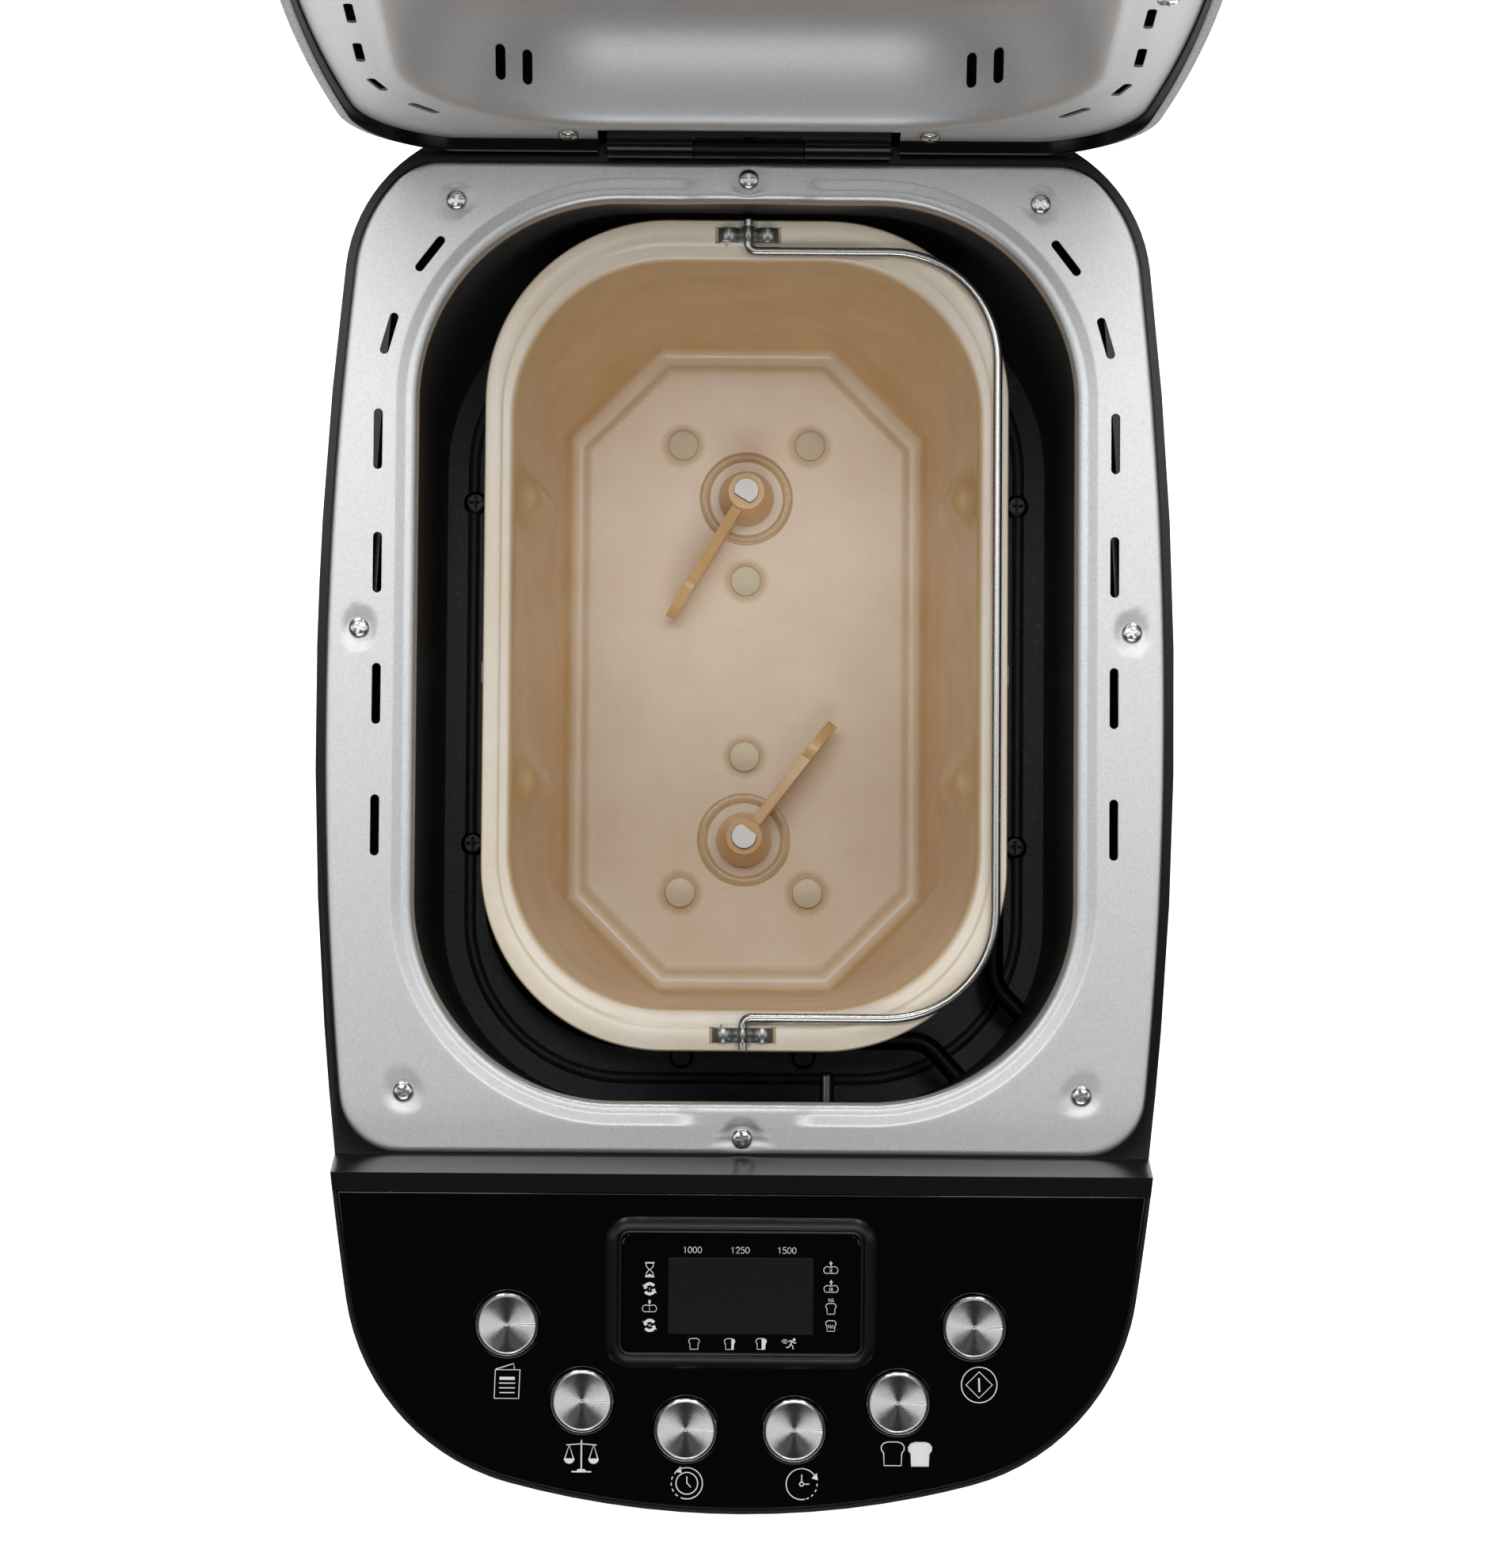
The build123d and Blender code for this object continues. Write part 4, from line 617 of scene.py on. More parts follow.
    # Pale specks shown only where the surface faces up: real specks of the coating, drawn brighter there as painted
    # glints.
    strength = add(tree, "ShaderNodeMath", {0: lit, 1: face.outputs["Fac"]}, operation="MULTIPLY")
    glint = add(tree, "ShaderNodeMath", {0: strength.outputs[0], 1: 0.55}, operation="MULTIPLY")
    glitter = add(tree, "ShaderNodeMix", {"Factor": glint.outputs[0], 6: colour, 7: linear("#fdfbf5")},
                  data_type="RGBA")
    tree.links.new(glitter.outputs[2], shader.inputs["Base Color"])
    grain(tree, shader, 1.4, 0.16, depth_mm=0.12, detail=2.5, rough=(0.28, 0.42))
    return material


def plain_metal(name, colour, rough, scratch_mm=0.6):
    """Bare or plated metal with fine unevenness in its polish."""
    material, tree, shader = finish_of(name, colour, rough, 1.0)
    grain(tree, shader, scratch_mm, 0.08, rough=(max(rough - 0.05, 0.03), rough + 0.07))
    return material


def spun_aluminium():
    """Aluminium turned on a lathe: circular tool marks spread light across themselves, so wedges of light
    fan out from the middle."""
    material, tree, shader = finish_of("spun aluminium", "#c9c9c8", 0.24, 1.0, Anisotropic=0.95)
    tangent = add(tree, "ShaderNodeTangent", direction_type="UV_MAP", uv_map="turning")
    tree.links.new(tangent.outputs["Tangent"], shader.inputs["Tangent"])
    place = add(tree, "ShaderNodeUVMap", uv_map="turning")
    across = add(tree, "ShaderNodeMapping", {"Vector": place.outputs["UV"], "Scale": (0.5, 90.0, 1.0)})
    lines = add(tree, "ShaderNodeTexNoise", {"Vector": across.outputs[0], "Scale": 4.0, "Detail": 2.0})
    polish = add(tree, "ShaderNodeMapRange", {"Value": lines.outputs["Fac"], "To Min": 0.2, "To Max": 0.34})
    tree.links.new(polish.outputs["Result"], shader.inputs["Roughness"])
    return material


def make_materials(colours):
    """Every finish by its slot name, the main ones in the colours given."""
    made = {
        "black_plastic": moulded_abs(colours.plastic),
        "gloss_black": gloss_acrylic(),
        "silver_paint": silver_paint("grey flake paint on moulded casing", colours.cover, 0.42, 0.7),
        "silver_deck": silver_paint("satin silver coat on pressed steel", colours.deck, 0.42, 0.8),
        "dark_enamel": enamel(colours.enamel),
        "ceramic_coating": ceramic("beige ceramic coating", False),
        # The pan's coating carries painted shade round the shaft beads and rivets.
        "ceramic_pan": ceramic("beige ceramic coating with painted shade round the fittings", True),
        "steel": plain_metal("brushed stainless steel", "#a3a3a2", 0.3),
        "chrome_steel": plain_metal("bright nickel plate", "#dcdcda", 0.12),
        "spun_aluminium": spun_aluminium(),
        "bronze": plain_metal("sintered bronze", "#9c7b4d", 0.4),
        "black_screw": plain_metal("black oxide on steel", "#1d1d1e", 0.4),
    }
    # Matt vulcanised rubber: dark, no clear highlight.
    made["rubber"], tree, shader = finish_of("vulcanised rubber", "#141414", 0.8)
    grain(tree, shader, 0.8, 0.3)
    # Clear float glass: colourless, sharp reflections.
    made["glass"], tree, shader = finish_of("float glass", "#f4f7f6", 0.02, IOR=1.5, Transmission_Weight=1.0)
    grain(tree, shader, 40.0, 0.02, depth_mm=0.1)
    # Unlit reflective display under its cover: dark grey green, even.
    made["display_glass"], tree, shader = finish_of("unlit liquid crystal glass", "#1d1e1b", 0.2, IOR=1.5,
                                                    Specular_IOR_Level=0.3)
    grain(tree, shader, 0.8, 0.02, rough=(0.18, 0.24))
    # Glass-fibre board under green solder mask: glossy, slightly uneven.
    made["circuit_board"], tree, shader = finish_of("green solder mask", "#14532d", 0.35)
    grain(tree, shader, 2.0, 0.15, depth_mm=0.05)
    # Heater tube of nickel alloy, oxidised by heat: nearly black, satin.
    made["heater_sheath"], tree, shader = finish_of("heat-oxidised alloy tube", "#232224", 0.38, 0.7)
    grain(tree, shader, 1.2, 0.25, rough=(0.3, 0.5))
    made["liner"] = silver_paint("silver coat on the lid liner", colours.liner, 0.5, 0.6)
    # Satin black plastic surround of the display.
    made["bezel"], tree, shader = finish_of("satin black surround", "#0c0c0c", 0.32, IOR=1.5, Specular_IOR_Level=0.3)
    grain(tree, shader, 0.5, 0.05, rough=(0.28, 0.36))
    # Aluminium rivet under a thin coat: grey beige, matt.
    made["rivet"], tree, shader = finish_of("coated aluminium rivet", colours.rivet, 0.42, 0.15)
    grain(tree, shader, 0.7, 0.25, rough=(0.36, 0.5))
    made["screw"] = plain_metal("nickel plated screw", "#cfcfcd", 0.24)
    made["ground_steel"] = plain_metal("ground end of a steel shaft", "#c4c4c2", 0.45, 0.9)
    made["bail_wire"] = plain_metal("drawn stainless wire", colours.wire, 0.26, 6.0)
    # Dark grey moulded side shell: smooth, so its upright sides pick up a light edge.
    made["shell_plastic"], tree, shader = finish_of("dark grey moulded shell", colours.shell, 0.26, IOR=1.5)
    grain(tree, shader, 0.5, 0.06, rough=(0.22, 0.3))
    made["enamel_screw"] = plain_metal("blackened screw", "#4c4c4d", 0.35)
    made["paddle"] = ceramic("ceramic coating on cast paddle", False)
    # White screen-printed ink on the panel: flat, opaque, faintly uneven.
    made["white_ink"], tree, shader = finish_of("white screen ink", "#f1f1f1", 0.5)
    grain(tree, shader, 0.6, 0.05)
    return made


# Filled by the finishes operator, which runs before any piece is made.
FINISH = {}


# ---------------------------------------------------------------------------
# Pieces
# ---------------------------------------------------------------------------


def store_facing_light(obj):
    """Stores how far each point faces up, 0 on walls to 1 on flats, for the coating's painted light and shade."""
    mesh = obj.data
    up = np.empty(len(mesh.vertices) * 3)
    mesh.vertices.foreach_get("normal", up)
    values = smooth(up.reshape(-1, 3)[:, 2], 0.35, 0.9).astype(np.float32)
    mesh.attributes.new("facing_light", "FLOAT", "POINT").data.foreach_set("value", values)


def dimples(points, centres, r, depth):
    """Lowering round each centre: a smooth dish of radius r."""
    away = np.linalg.norm(points[:, None, :2] - centres[None], axis=2).min(axis=1)
    return -depth * (1 - smooth(away, r * 0.72, r * 1.15))


def nearest_on(loop, fine):
    """The nearest point of a finely drawn outline to each point of a loop."""
    away = ((fine[None] - loop[:, None]) ** 2).sum(axis=2)
    return fine[away.argmin(axis=1)]


def make_deck(sizes):
    """Pressed deck plate: from the lip in the mouth over a rolled edge, across a sunk inner band, up a sloping
    step that fades out at the middle of the front and back, over a flat with screw dishes, to a rolled rim."""
    step = sizes.deck_step / MM
    mouth = rounded(*MOUTH)
    fade = np.where(np.abs(mouth[:, 1]) > 120, smooth(np.abs(mouth[:, 0] - 1.0), 14, 22), 1.0)
    rings = []
    for out, z in ((0.9, -11.0), (0.5, -9.0), (0.0, -6.0), (0.0, -3.4), (-0.25, -3.0), (-0.3, -2.2), (0.0, -1.7),
                   (0.35, -1.0), (0.9, -0.45), (1.7, -0.12)):
        rings.append(ring(moved_out(mouth, out), DECK_Z + z - step * fade))
    for out, sink in ((2.4, 1.0), (3.3, 1.0), (3.7, 0.97), (4.1, 0.86), (5.3, 0.5), (6.5, 0.14), (6.9, 0.03),
                      (7.4, 0.0)):
        rings.append(ring(moved_out(mouth, out), DECK_Z - step * sink * fade))
    inner = moved_out(mouth, 7.4)
    edge = body_line(2.7, 152.4, -156.5, 20.0, 19.0, 3000)
    outer = nearest_on(rounded(DECK[0] - 1.5, DECK[1], 20.0, DECK[3]), edge)
    for s in np.linspace(0, 1, 26)[1:]:
        rings.append(ring(inner * (1 - s) + moved_out(outer, -1.6) * s, DECK_Z))
    for out, z in ((-1.0, -0.08), (-0.5, -0.35), (-0.15, -0.8), (0.0, -1.4), (0.0, -2.4)):
        rings.append(ring(moved_out(outer, out), DECK_Z + z))
    points, faces = walled(rings, 0.8)
    points[:, 2] += dimples(points, DECK_SCREWS, 5.2, 0.6) * (points[:, 2] > DECK_Z - 1.2)
    obj = piece("deck_top", (on_machine(points), faces), "machine", FINISH["silver_deck"],
                ("deck_plate",))
    slots = slot_prisms(both_sides(DECK_SLOTS), DECK_Z - 8, DECK_Z + 5)
    slots = (on_machine(slots[0]), slots[1])
    cut(obj, *slots)


def make_pan():
    """Coated pan: outside wall, a flat rim with a bead, a ridge and a rounded inner edge, walls that taper
    from a rounded rectangle into an eight-sided floor, four inward dents, and a raised eight-sided pad."""
    rings = []
    mouth = rounded(74.0, 118.5, 50.0)
    foot = octagon(60.5, 110.2, 31.0)
    for s, z in ((1.0, 84.6), (0.98, 92.0), (0.75, 120.0), (0.4, 165.0), (0.12, 203.0), (0.05, 212.5)):
        shape = mouth * (1 - s) + foot * s
        rings.append(ring(moved_out(shape, 1.5), z))
    rim = rounded(82.7, 131.5, 58.0)
    for s, z in ((0.12, 214.4), (0.7, 215.2), (0.93, 215.2), (1.0, 215.7), (1.0, 216.9), (0.96, 217.7), (0.88,
                                                                                                         218.0)):
        rings.append(ring(mouth * (1 - s) + rim * s, z))
    for s, z in ((0.7, 218.0), (0.46, 217.95), (0.40, 217.7), (0.36, 217.2), (0.32, 217.1), (0.16, 216.9),
                 (0.1, 216.8), (0.04, 216.5), (0.0, 215.9)):
        rings.append(ring(mouth * (1 - s) + rim * s, z))
    for s in np.r_[np.linspace(0, 0.9, 30) ** 1.0, 0.93, 0.96, 0.985]:
        z = 215.0 - 126.5 * s
        blend = 0.06 + s * 0.94
        shape = mouth * (1 - blend) + (octagon(60.5, 110.2, 31.0) * smooth(s, 0.25, 1.0)
                                      + rounded(60.5, 110.2, 44.0) * (1 - smooth(s, 0.25, 1.0))) * blend
        bulge = sum(np.exp(-((shape[:, 1] - y) / 7.5) ** 2) for y in (45.0, -45.0))
        push = 6.0 * bulge * smooth(z, 118, 172) * (1 - smooth(z, 198, 210)) * (np.abs(shape[:, 0]) > 55)
        shape = shape - np.c_[np.sign(shape[:, 0]) * push, np.zeros(len(shape))]
        rings.append(ring(shape, z))
    for out, z in ((-0.8, 88.0), (-1.8, 86.5), (-3.2, 85.6), (-4.4, 85.35)):
        rings.append(ring(octagon(60.5 + out, 110.2 + out, 31.0 + out * 0.6), z))
    for grow, z in ((1.6, 85.35), (1.0, 85.5), (0.4, 85.95), (-0.4, 86.55), (-1.0, 86.78), (-1.8, 86.85), (-2.6,
                                                                                                           86.8)):
        rings.append(ring(octagon(54.3 + grow, 103.0 + grow, 28.0 + grow * 0.6), z))
    for s in np.linspace(0.95, 0.03, 24):
        rings.append(ring(octagon(54.3 * s, 103.0 * s, 28.0 * s), 86.75))
    points, faces = skin(rings, cap_first=True, cap_last=True)
    points[:, 1] += PAN_Y
    obj = piece("pan_shell", (on_machine(points), faces), "pan", FINISH["ceramic_pan"],
                ("bread_pan",), sharp=50)
    notches = []
    for x in (9.7, -9.7):
        for y in (CLIP_Y, -CLIP_Y):
            box = np.array([(x - 0.7, y - 2.6), (x + 0.7, y - 2.6), (x + 0.7, y + 2.6), (x - 0.7,
                                                                                         y + 2.6)]) + (0, PAN_Y)
            notches.append(skin([ring(box, 216.4), ring(box, 222.0)], True, True))
    points, faces = together(*notches)
    cut(obj, on_machine(points), faces)
    store_facing_light(obj)
    parts = []
    for y in (SHAFT_Y, -SHAFT_Y):
        parts.append(revolved_ring(((12.4, 86.4), (12.7, 87.0), (13.3, 87.25), (15.0, 87.25), (15.7, 87.0),
                                    (16.1, 86.4)),
                                   (0.0, PAN_Y + y)))
    points, faces = together(*parts)
    obj = piece("pan_floor_beads", (on_machine(points), faces), "pan", FINISH["ceramic_pan"])
    store_facing_light(obj)


def revolved_ring(profile, centre, count=96):
    """A profile of (radius, height) rows, closed on itself, turned about the vertical through centre."""
    a = np.linspace(0, 2 * pi, count, endpoint=False)
    circle = np.c_[np.cos(a), np.sin(a)]
    rings = [np.c_[centre[0] + r * circle[:, 0], centre[1] + r * circle[:, 1], np.full(count, h)] for r, h in profile]
    return skin(rings, closed=True)


def make_buttons():
    """Spun buttons: a shallow dished face inside a rounded bright rim; the face is turned about the button's own
    axis and its UV runs round the axis, so the light fans from its middle."""
    for name, (x, y) in BUTTONS.items():
        rim = revolved_ring(((8.55, 1.75), (8.8, 2.05), (9.2, 2.1), (9.5, 1.9), (9.65, 1.5), (9.65, -3.0), (8.4,
                                                                                                            -3.0)),
                            (x, y), 96)
        face_rings = ((9.0, 1.55), (8.75, 1.7), (8.2, 1.72), (6.0, 1.64), (4.0, 1.56), (2.0, 1.48), (0.6, 1.42),
                      (0.0, 1.4))
        count = 96
        a = np.linspace(0, 2 * pi, count + 1)
        grid = np.stack([np.stack([x + r * np.cos(a), y + r * np.sin(a), np.full(count + 1, h)], axis=1)
                         for r, h in face_rings])
        m = len(face_rings)
        index = np.arange(m * (count + 1)).reshape(m, count + 1)
        quads = np.stack([index[:-1, :-1], index[:-1, 1:], index[1:, 1:], index[1:, :-1]], axis=-1).reshape(-1, 4)
        points = on_panel(grid.reshape(-1, 3))
        mesh = bpy.data.meshes.new(name + "_face")
        mesh.from_pydata(points.tolist(), [], quads.tolist())
        uv = mesh.uv_layers.new(name="turning")
        round_it = np.broadcast_to(np.linspace(0, 1, count + 1), (m, count + 1)).reshape(-1)
        out_it = np.repeat(np.array([r / 9.0 for r, _ in face_rings]), count + 1)
        loops = np.empty(len(mesh.loops), dtype=np.int32)
        mesh.loops.foreach_get("vertex_index", loops)
        uv.data.foreach_set("uv", np.c_[round_it[loops], out_it[loops]].reshape(-1))
        mesh.shade_smooth()
        mesh.materials.append(FINISH["spun_aluminium"])
        obj = bpy.data.objects.new(name + "_face", mesh)
        bpy.context.scene.collection.objects.link(obj)
        wall = obj.modifiers.new("wall", "SOLIDIFY")
        wall.thickness, wall.offset = 0.6 * MM, -1.0
        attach(obj, name + "_key")
        piece(name + "_rim", (on_panel(rim[0]), rim[1]), name + "_key", FINISH["chrome_steel"],
              (name + "_button",))


# ---------------------------------------------------------------------------
# Lid
# ---------------------------------------------------------------------------

LID_FRONT, LID_BACK = -155.3, 160.2
LID_TOP, COVER_BOTTOM = 292.0, 243.2


def lid_line(inset, count=LOOP):
    """The lid's outline moved in by inset, with its end corners kept round."""
    return body_line(0.2 + inset, LID_BACK - inset, LID_FRONT + inset, max(20.0 - inset, 2.0),
                     max(16.0 - inset, 2.0), count)


def make_liner():
    """Pressed lid liner: a flat band, a soft ridge where the dome begins, a curved dome wall, a ceiling with a
    window hole. Slots, screw holes and the hinge notch are cut afterwards."""
    crease = rounded(*MOUTH)
    fine = lid_line(3.9, 3000)
    edge = nearest_on(rounded(122.0, 153.5, 20.0, 2.4), fine)
    rings = [ring(edge, LINER_Z + 1.2), ring(moved_out(edge, -0.15), LINER_Z + 0.4), ring(moved_out(edge, -0.7),
                                                                                          LINER_Z)]
    start, stop = moved_out(edge, -1.2), moved_out(crease, 7.0)
    for s in np.linspace(0, 1, 12):
        rings.append(ring(start * (1 - s) + stop * s, LINER_Z))
    for out, up in ((5.0, -0.1), (3.2, -0.25), (1.8, -0.1), (0.6, 0.5), (-0.4, 1.6), (-1.2, 3.2), (-2.2, 6.0),
                    (-3.6, 10.0),
                    (-5.4, 14.5), (-8.0, 19.5), (-11.5, 24.5), (-16.0, 29.0), (-21.5, 32.6), (-28.0, 34.8),
                    (-35.0, 35.5)):
        rings.append(ring(moved_out(crease, out), LINER_Z + up))
    last = moved_out(crease, -35.0)
    hole = rounded(WINDOW[0] - 4, WINDOW[1] - 4, 10.0, WINDOW[3])
    for s in np.linspace(0, 1, 8)[1:]:
        rings.append(ring(last * (1 - s) + hole * s, LINER_Z + 35.5))
    points, faces = walled(rings, 0.8)
    obj = piece("lid_dome", (on_lid(points), faces), "lid", FINISH["liner"], ("lid_liner",))
    notch = np.array([(47.0, 146.0), (47.0, 170.0), (-47.0, 170.0), (-47.0, 146.0)])
    cutters = [slot_prisms(both_sides(DECK_SLOTS), LINER_Z - 5, LINER_Z + 5),
               holes(LID_SCREWS, 1.7, LINER_Z - 5, LINER_Z + 5),
               skin([ring(notch, LINER_Z - 6), ring(notch, LINER_Z + 6)], True, True)]
    for x in (76.0, 68.0, -68.0, -76.0):
        cutters.append(wall_slot(x))
    points, faces = together(*cutters)
    cut(obj, on_lid(points), faces)


def wall_slot(x):
    """A slot through the dome's wall near the hinge: a stadium in x and height, 3 by 10 mm, run through in y."""
    a = np.linspace(0, pi, 12)
    r, half, mid = 1.5, 3.4, LINER_Z + 14.5
    loop = np.vstack([np.c_[x + r * np.cos(a), mid + half + r * np.sin(a)],
                      np.c_[x - r * np.cos(a), mid - half - r * np.sin(a)]])
    return skin([np.c_[loop[:, 0], np.full(len(loop), y), loop[:, 1]] for y in (112.0, 140.0)], True, True)


def make_cover(sizes):
    """Lid cover: an upright wall, a quarter-round shoulder and a flat top with the window hole."""
    rings = [ring(lid_line(0.0), z) for z in (COVER_BOTTOM + 0.4, 246.0, 256.0, 266.0)]
    for t in np.linspace(0, pi / 2, 14)[1:]:
        rings.append(ring(lid_line(24.0 * (1 - cos(t))), LID_TOP - 24.0 + 24.0 * sin(t)))
    hole = even(rounded(*WINDOW), LOOP)
    hole = np.roll(hole, -int(np.argmin(((hole - rings[-1][0, :2] * (0.5, 1)) ** 2).sum(axis=1))), axis=0)
    last = rings[-1][:, :2]
    for s in np.linspace(0, 1, 8)[1:]:
        rings.append(ring(last * (1 - s) + hole * s, LID_TOP))
    points, faces = walled(rings, -sizes.cover_wall / MM)
    obj = piece("lid_shell", (on_lid(points), faces), "lid", FINISH["silver_paint"], ("lid_cover",),
                sharp=50)
    notch = np.array([(47.0, 149.0), (47.0, 170.0), (-47.0, 170.0), (-47.0, 149.0)])
    points, faces = skin([ring(notch, 240.0), ring(notch, 251.0)], True, True)
    cut(obj, on_lid(points), faces)


# ---------------------------------------------------------------------------
# Panel print and display
# ---------------------------------------------------------------------------

INK_T = 0.06


def stroke(path, width, base=0.02, closed=False):
    """Flat ribbon along a path: its two sides lie half the width square to the path."""
    path = np.asarray(path, float)
    ahead = np.roll(path, -1, 0) - np.roll(path, 1, 0) if closed else np.gradient(path, axis=0)
    ahead /= np.linalg.norm(ahead, axis=1)[:, None] + 1e-9
    side = np.c_[-ahead[:, 1], ahead[:, 0]] * width / 2
    low, high = np.full((len(path), 1), base), np.full((len(path), 1), base + INK_T)
    section = [np.hstack([path + side, low]), np.hstack([path + side, high]),
               np.hstack([path - side, high]), np.hstack([path - side, low])]
    return skin(np.stack(section, axis=1), cap_first=not closed, cap_last=not closed, closed=closed)


def fill(loop, base=0.02):
    """A flat filled shape."""
    loop = np.asarray(loop, float)
    return skin([ring(loop, base), ring(loop, base + INK_T)], True, True)


def arc(x, y, r, start, stop, count=24):
    """Points of a circle of radius r about (x, y) from one angle to another, in degrees."""
    a = np.radians(np.linspace(start, stop, count))
    return np.c_[x + r * np.cos(a), y + r * np.sin(a)]


LOAF = np.array([(-0.72, -1.0), (-0.76, 0.05), (-0.95, 0.3), (-0.97, 0.62), (-0.78, 0.88), (-0.45, 1.0), (0.45, 1.0),
                 (0.78, 0.88), (0.97, 0.62), (0.95, 0.3), (0.76, 0.05), (0.72, -1.0)])
DIGITS = {
    "0": (arc(0.31, 0.5, 0.31, 0, 345, 20) * (1, 1.5) - (0, 0.25), True),
    "1": (np.array([(0.08, 0.78), (0.34, 1.0), (0.34, 0.0)]), False),
    "2": (np.vstack([arc(0.31, 0.7, 0.28, 170, -30, 12), [(0.04, 0.0), (0.62, 0.0)]]), False),
    "5": (np.vstack([[(0.58, 0.98), (0.12, 0.98), (0.07, 0.52)], arc(0.3, 0.32, 0.31, 120, -150, 12)]), False),
}


def number(text, x, y, height):
    """A row of digits centred on (x, y)."""
    parts = []
    for k, letter in enumerate(text):
        path, closed = DIGITS[letter]
        at = np.array([x + (k - len(text) / 2) * height * 0.78, y - height / 2])
        parts.append(stroke(path * height * (0.95, 1.0) + at, 0.18, 0.22, closed))
    return parts


def turning_arrows(x, y, r, base, bars):
    """Two thick half-circle arrows round a short count of bars."""
    parts = []
    for start in (35, 215):
        parts.append(stroke(arc(x, y, r * 0.72, start, start + 118, 16), r * 0.42, base))
        tip = radians(start + 150)
        mid = radians(start + 112)
        out = np.array([[x + r * 0.72 * cos(tip), y + r * 0.72 * sin(tip)],
                        [x + r * 0.28 * cos(mid), y + r * 0.28 * sin(mid)],
                        [x + r * 1.2 * cos(mid), y + r * 1.2 * sin(mid)]])
        parts.append(fill(out, base))
    return parts + tally(x, y, 0.8, bars, base)


def tally(x, y, height, bars, base):
    """Upright bars side by side, as a count."""
    return [stroke([(x + (k - (bars - 1) / 2) * 0.42, y - height / 2), (x + (k - (bars - 1) / 2) * 0.42,
                                                                        y + height / 2)],
                   0.16, base) for k in range(bars)]


def rising(x, y, base, bars):
    """A plump loaf with an arrow going up from it and a count of bars."""
    dome = np.vstack([arc(x + 1.05, y + 0.1, 1.1, -60, 90, 12), [(x, y + 0.95)], arc(x - 1.05, y + 0.1, 1.1, 90,
                                                                                     240, 12)])
    dome[:, 1] = np.clip(dome[:, 1], y - 0.95, None)
    arrow = [(x - 0.55, y + 2.1), (x, y + 2.9), (x + 0.55, y + 2.1)]
    return [stroke(dome, 0.2, base, True), stroke([(x, y + 1.3), (x, y + 2.3)], 0.42, base), fill(arrow, base),
            *tally(x, y, 1.0, bars, base)]


def steam(x, y, base):
    """Three short wavy lines."""
    t = np.linspace(0, 1, 12)
    return [stroke(np.c_[x + dx + 0.14 * np.sin(t * 2 * pi), y + t * 1.0 - 0.5], 0.18, base) for dx in (-0.62,
                                                                                                        0.0, 0.62)]


def loaf(x, y, size, base, dark=0.0, width=0.2):
    """A slice outline; dark fills its right-hand share."""
    shape = LOAF * size * (1.0, 1.0) + (x, y)
    parts = [stroke(shape, width, base, True)]
    if dark >= 1:
        parts.append(fill(shape, base))
    elif dark > 0:
        right = np.clip(shape, (x + size * (0.85 - 1.7 * dark), -1e9), (1e9, 1e9))
        parts.append(fill(right, base))
    return parts


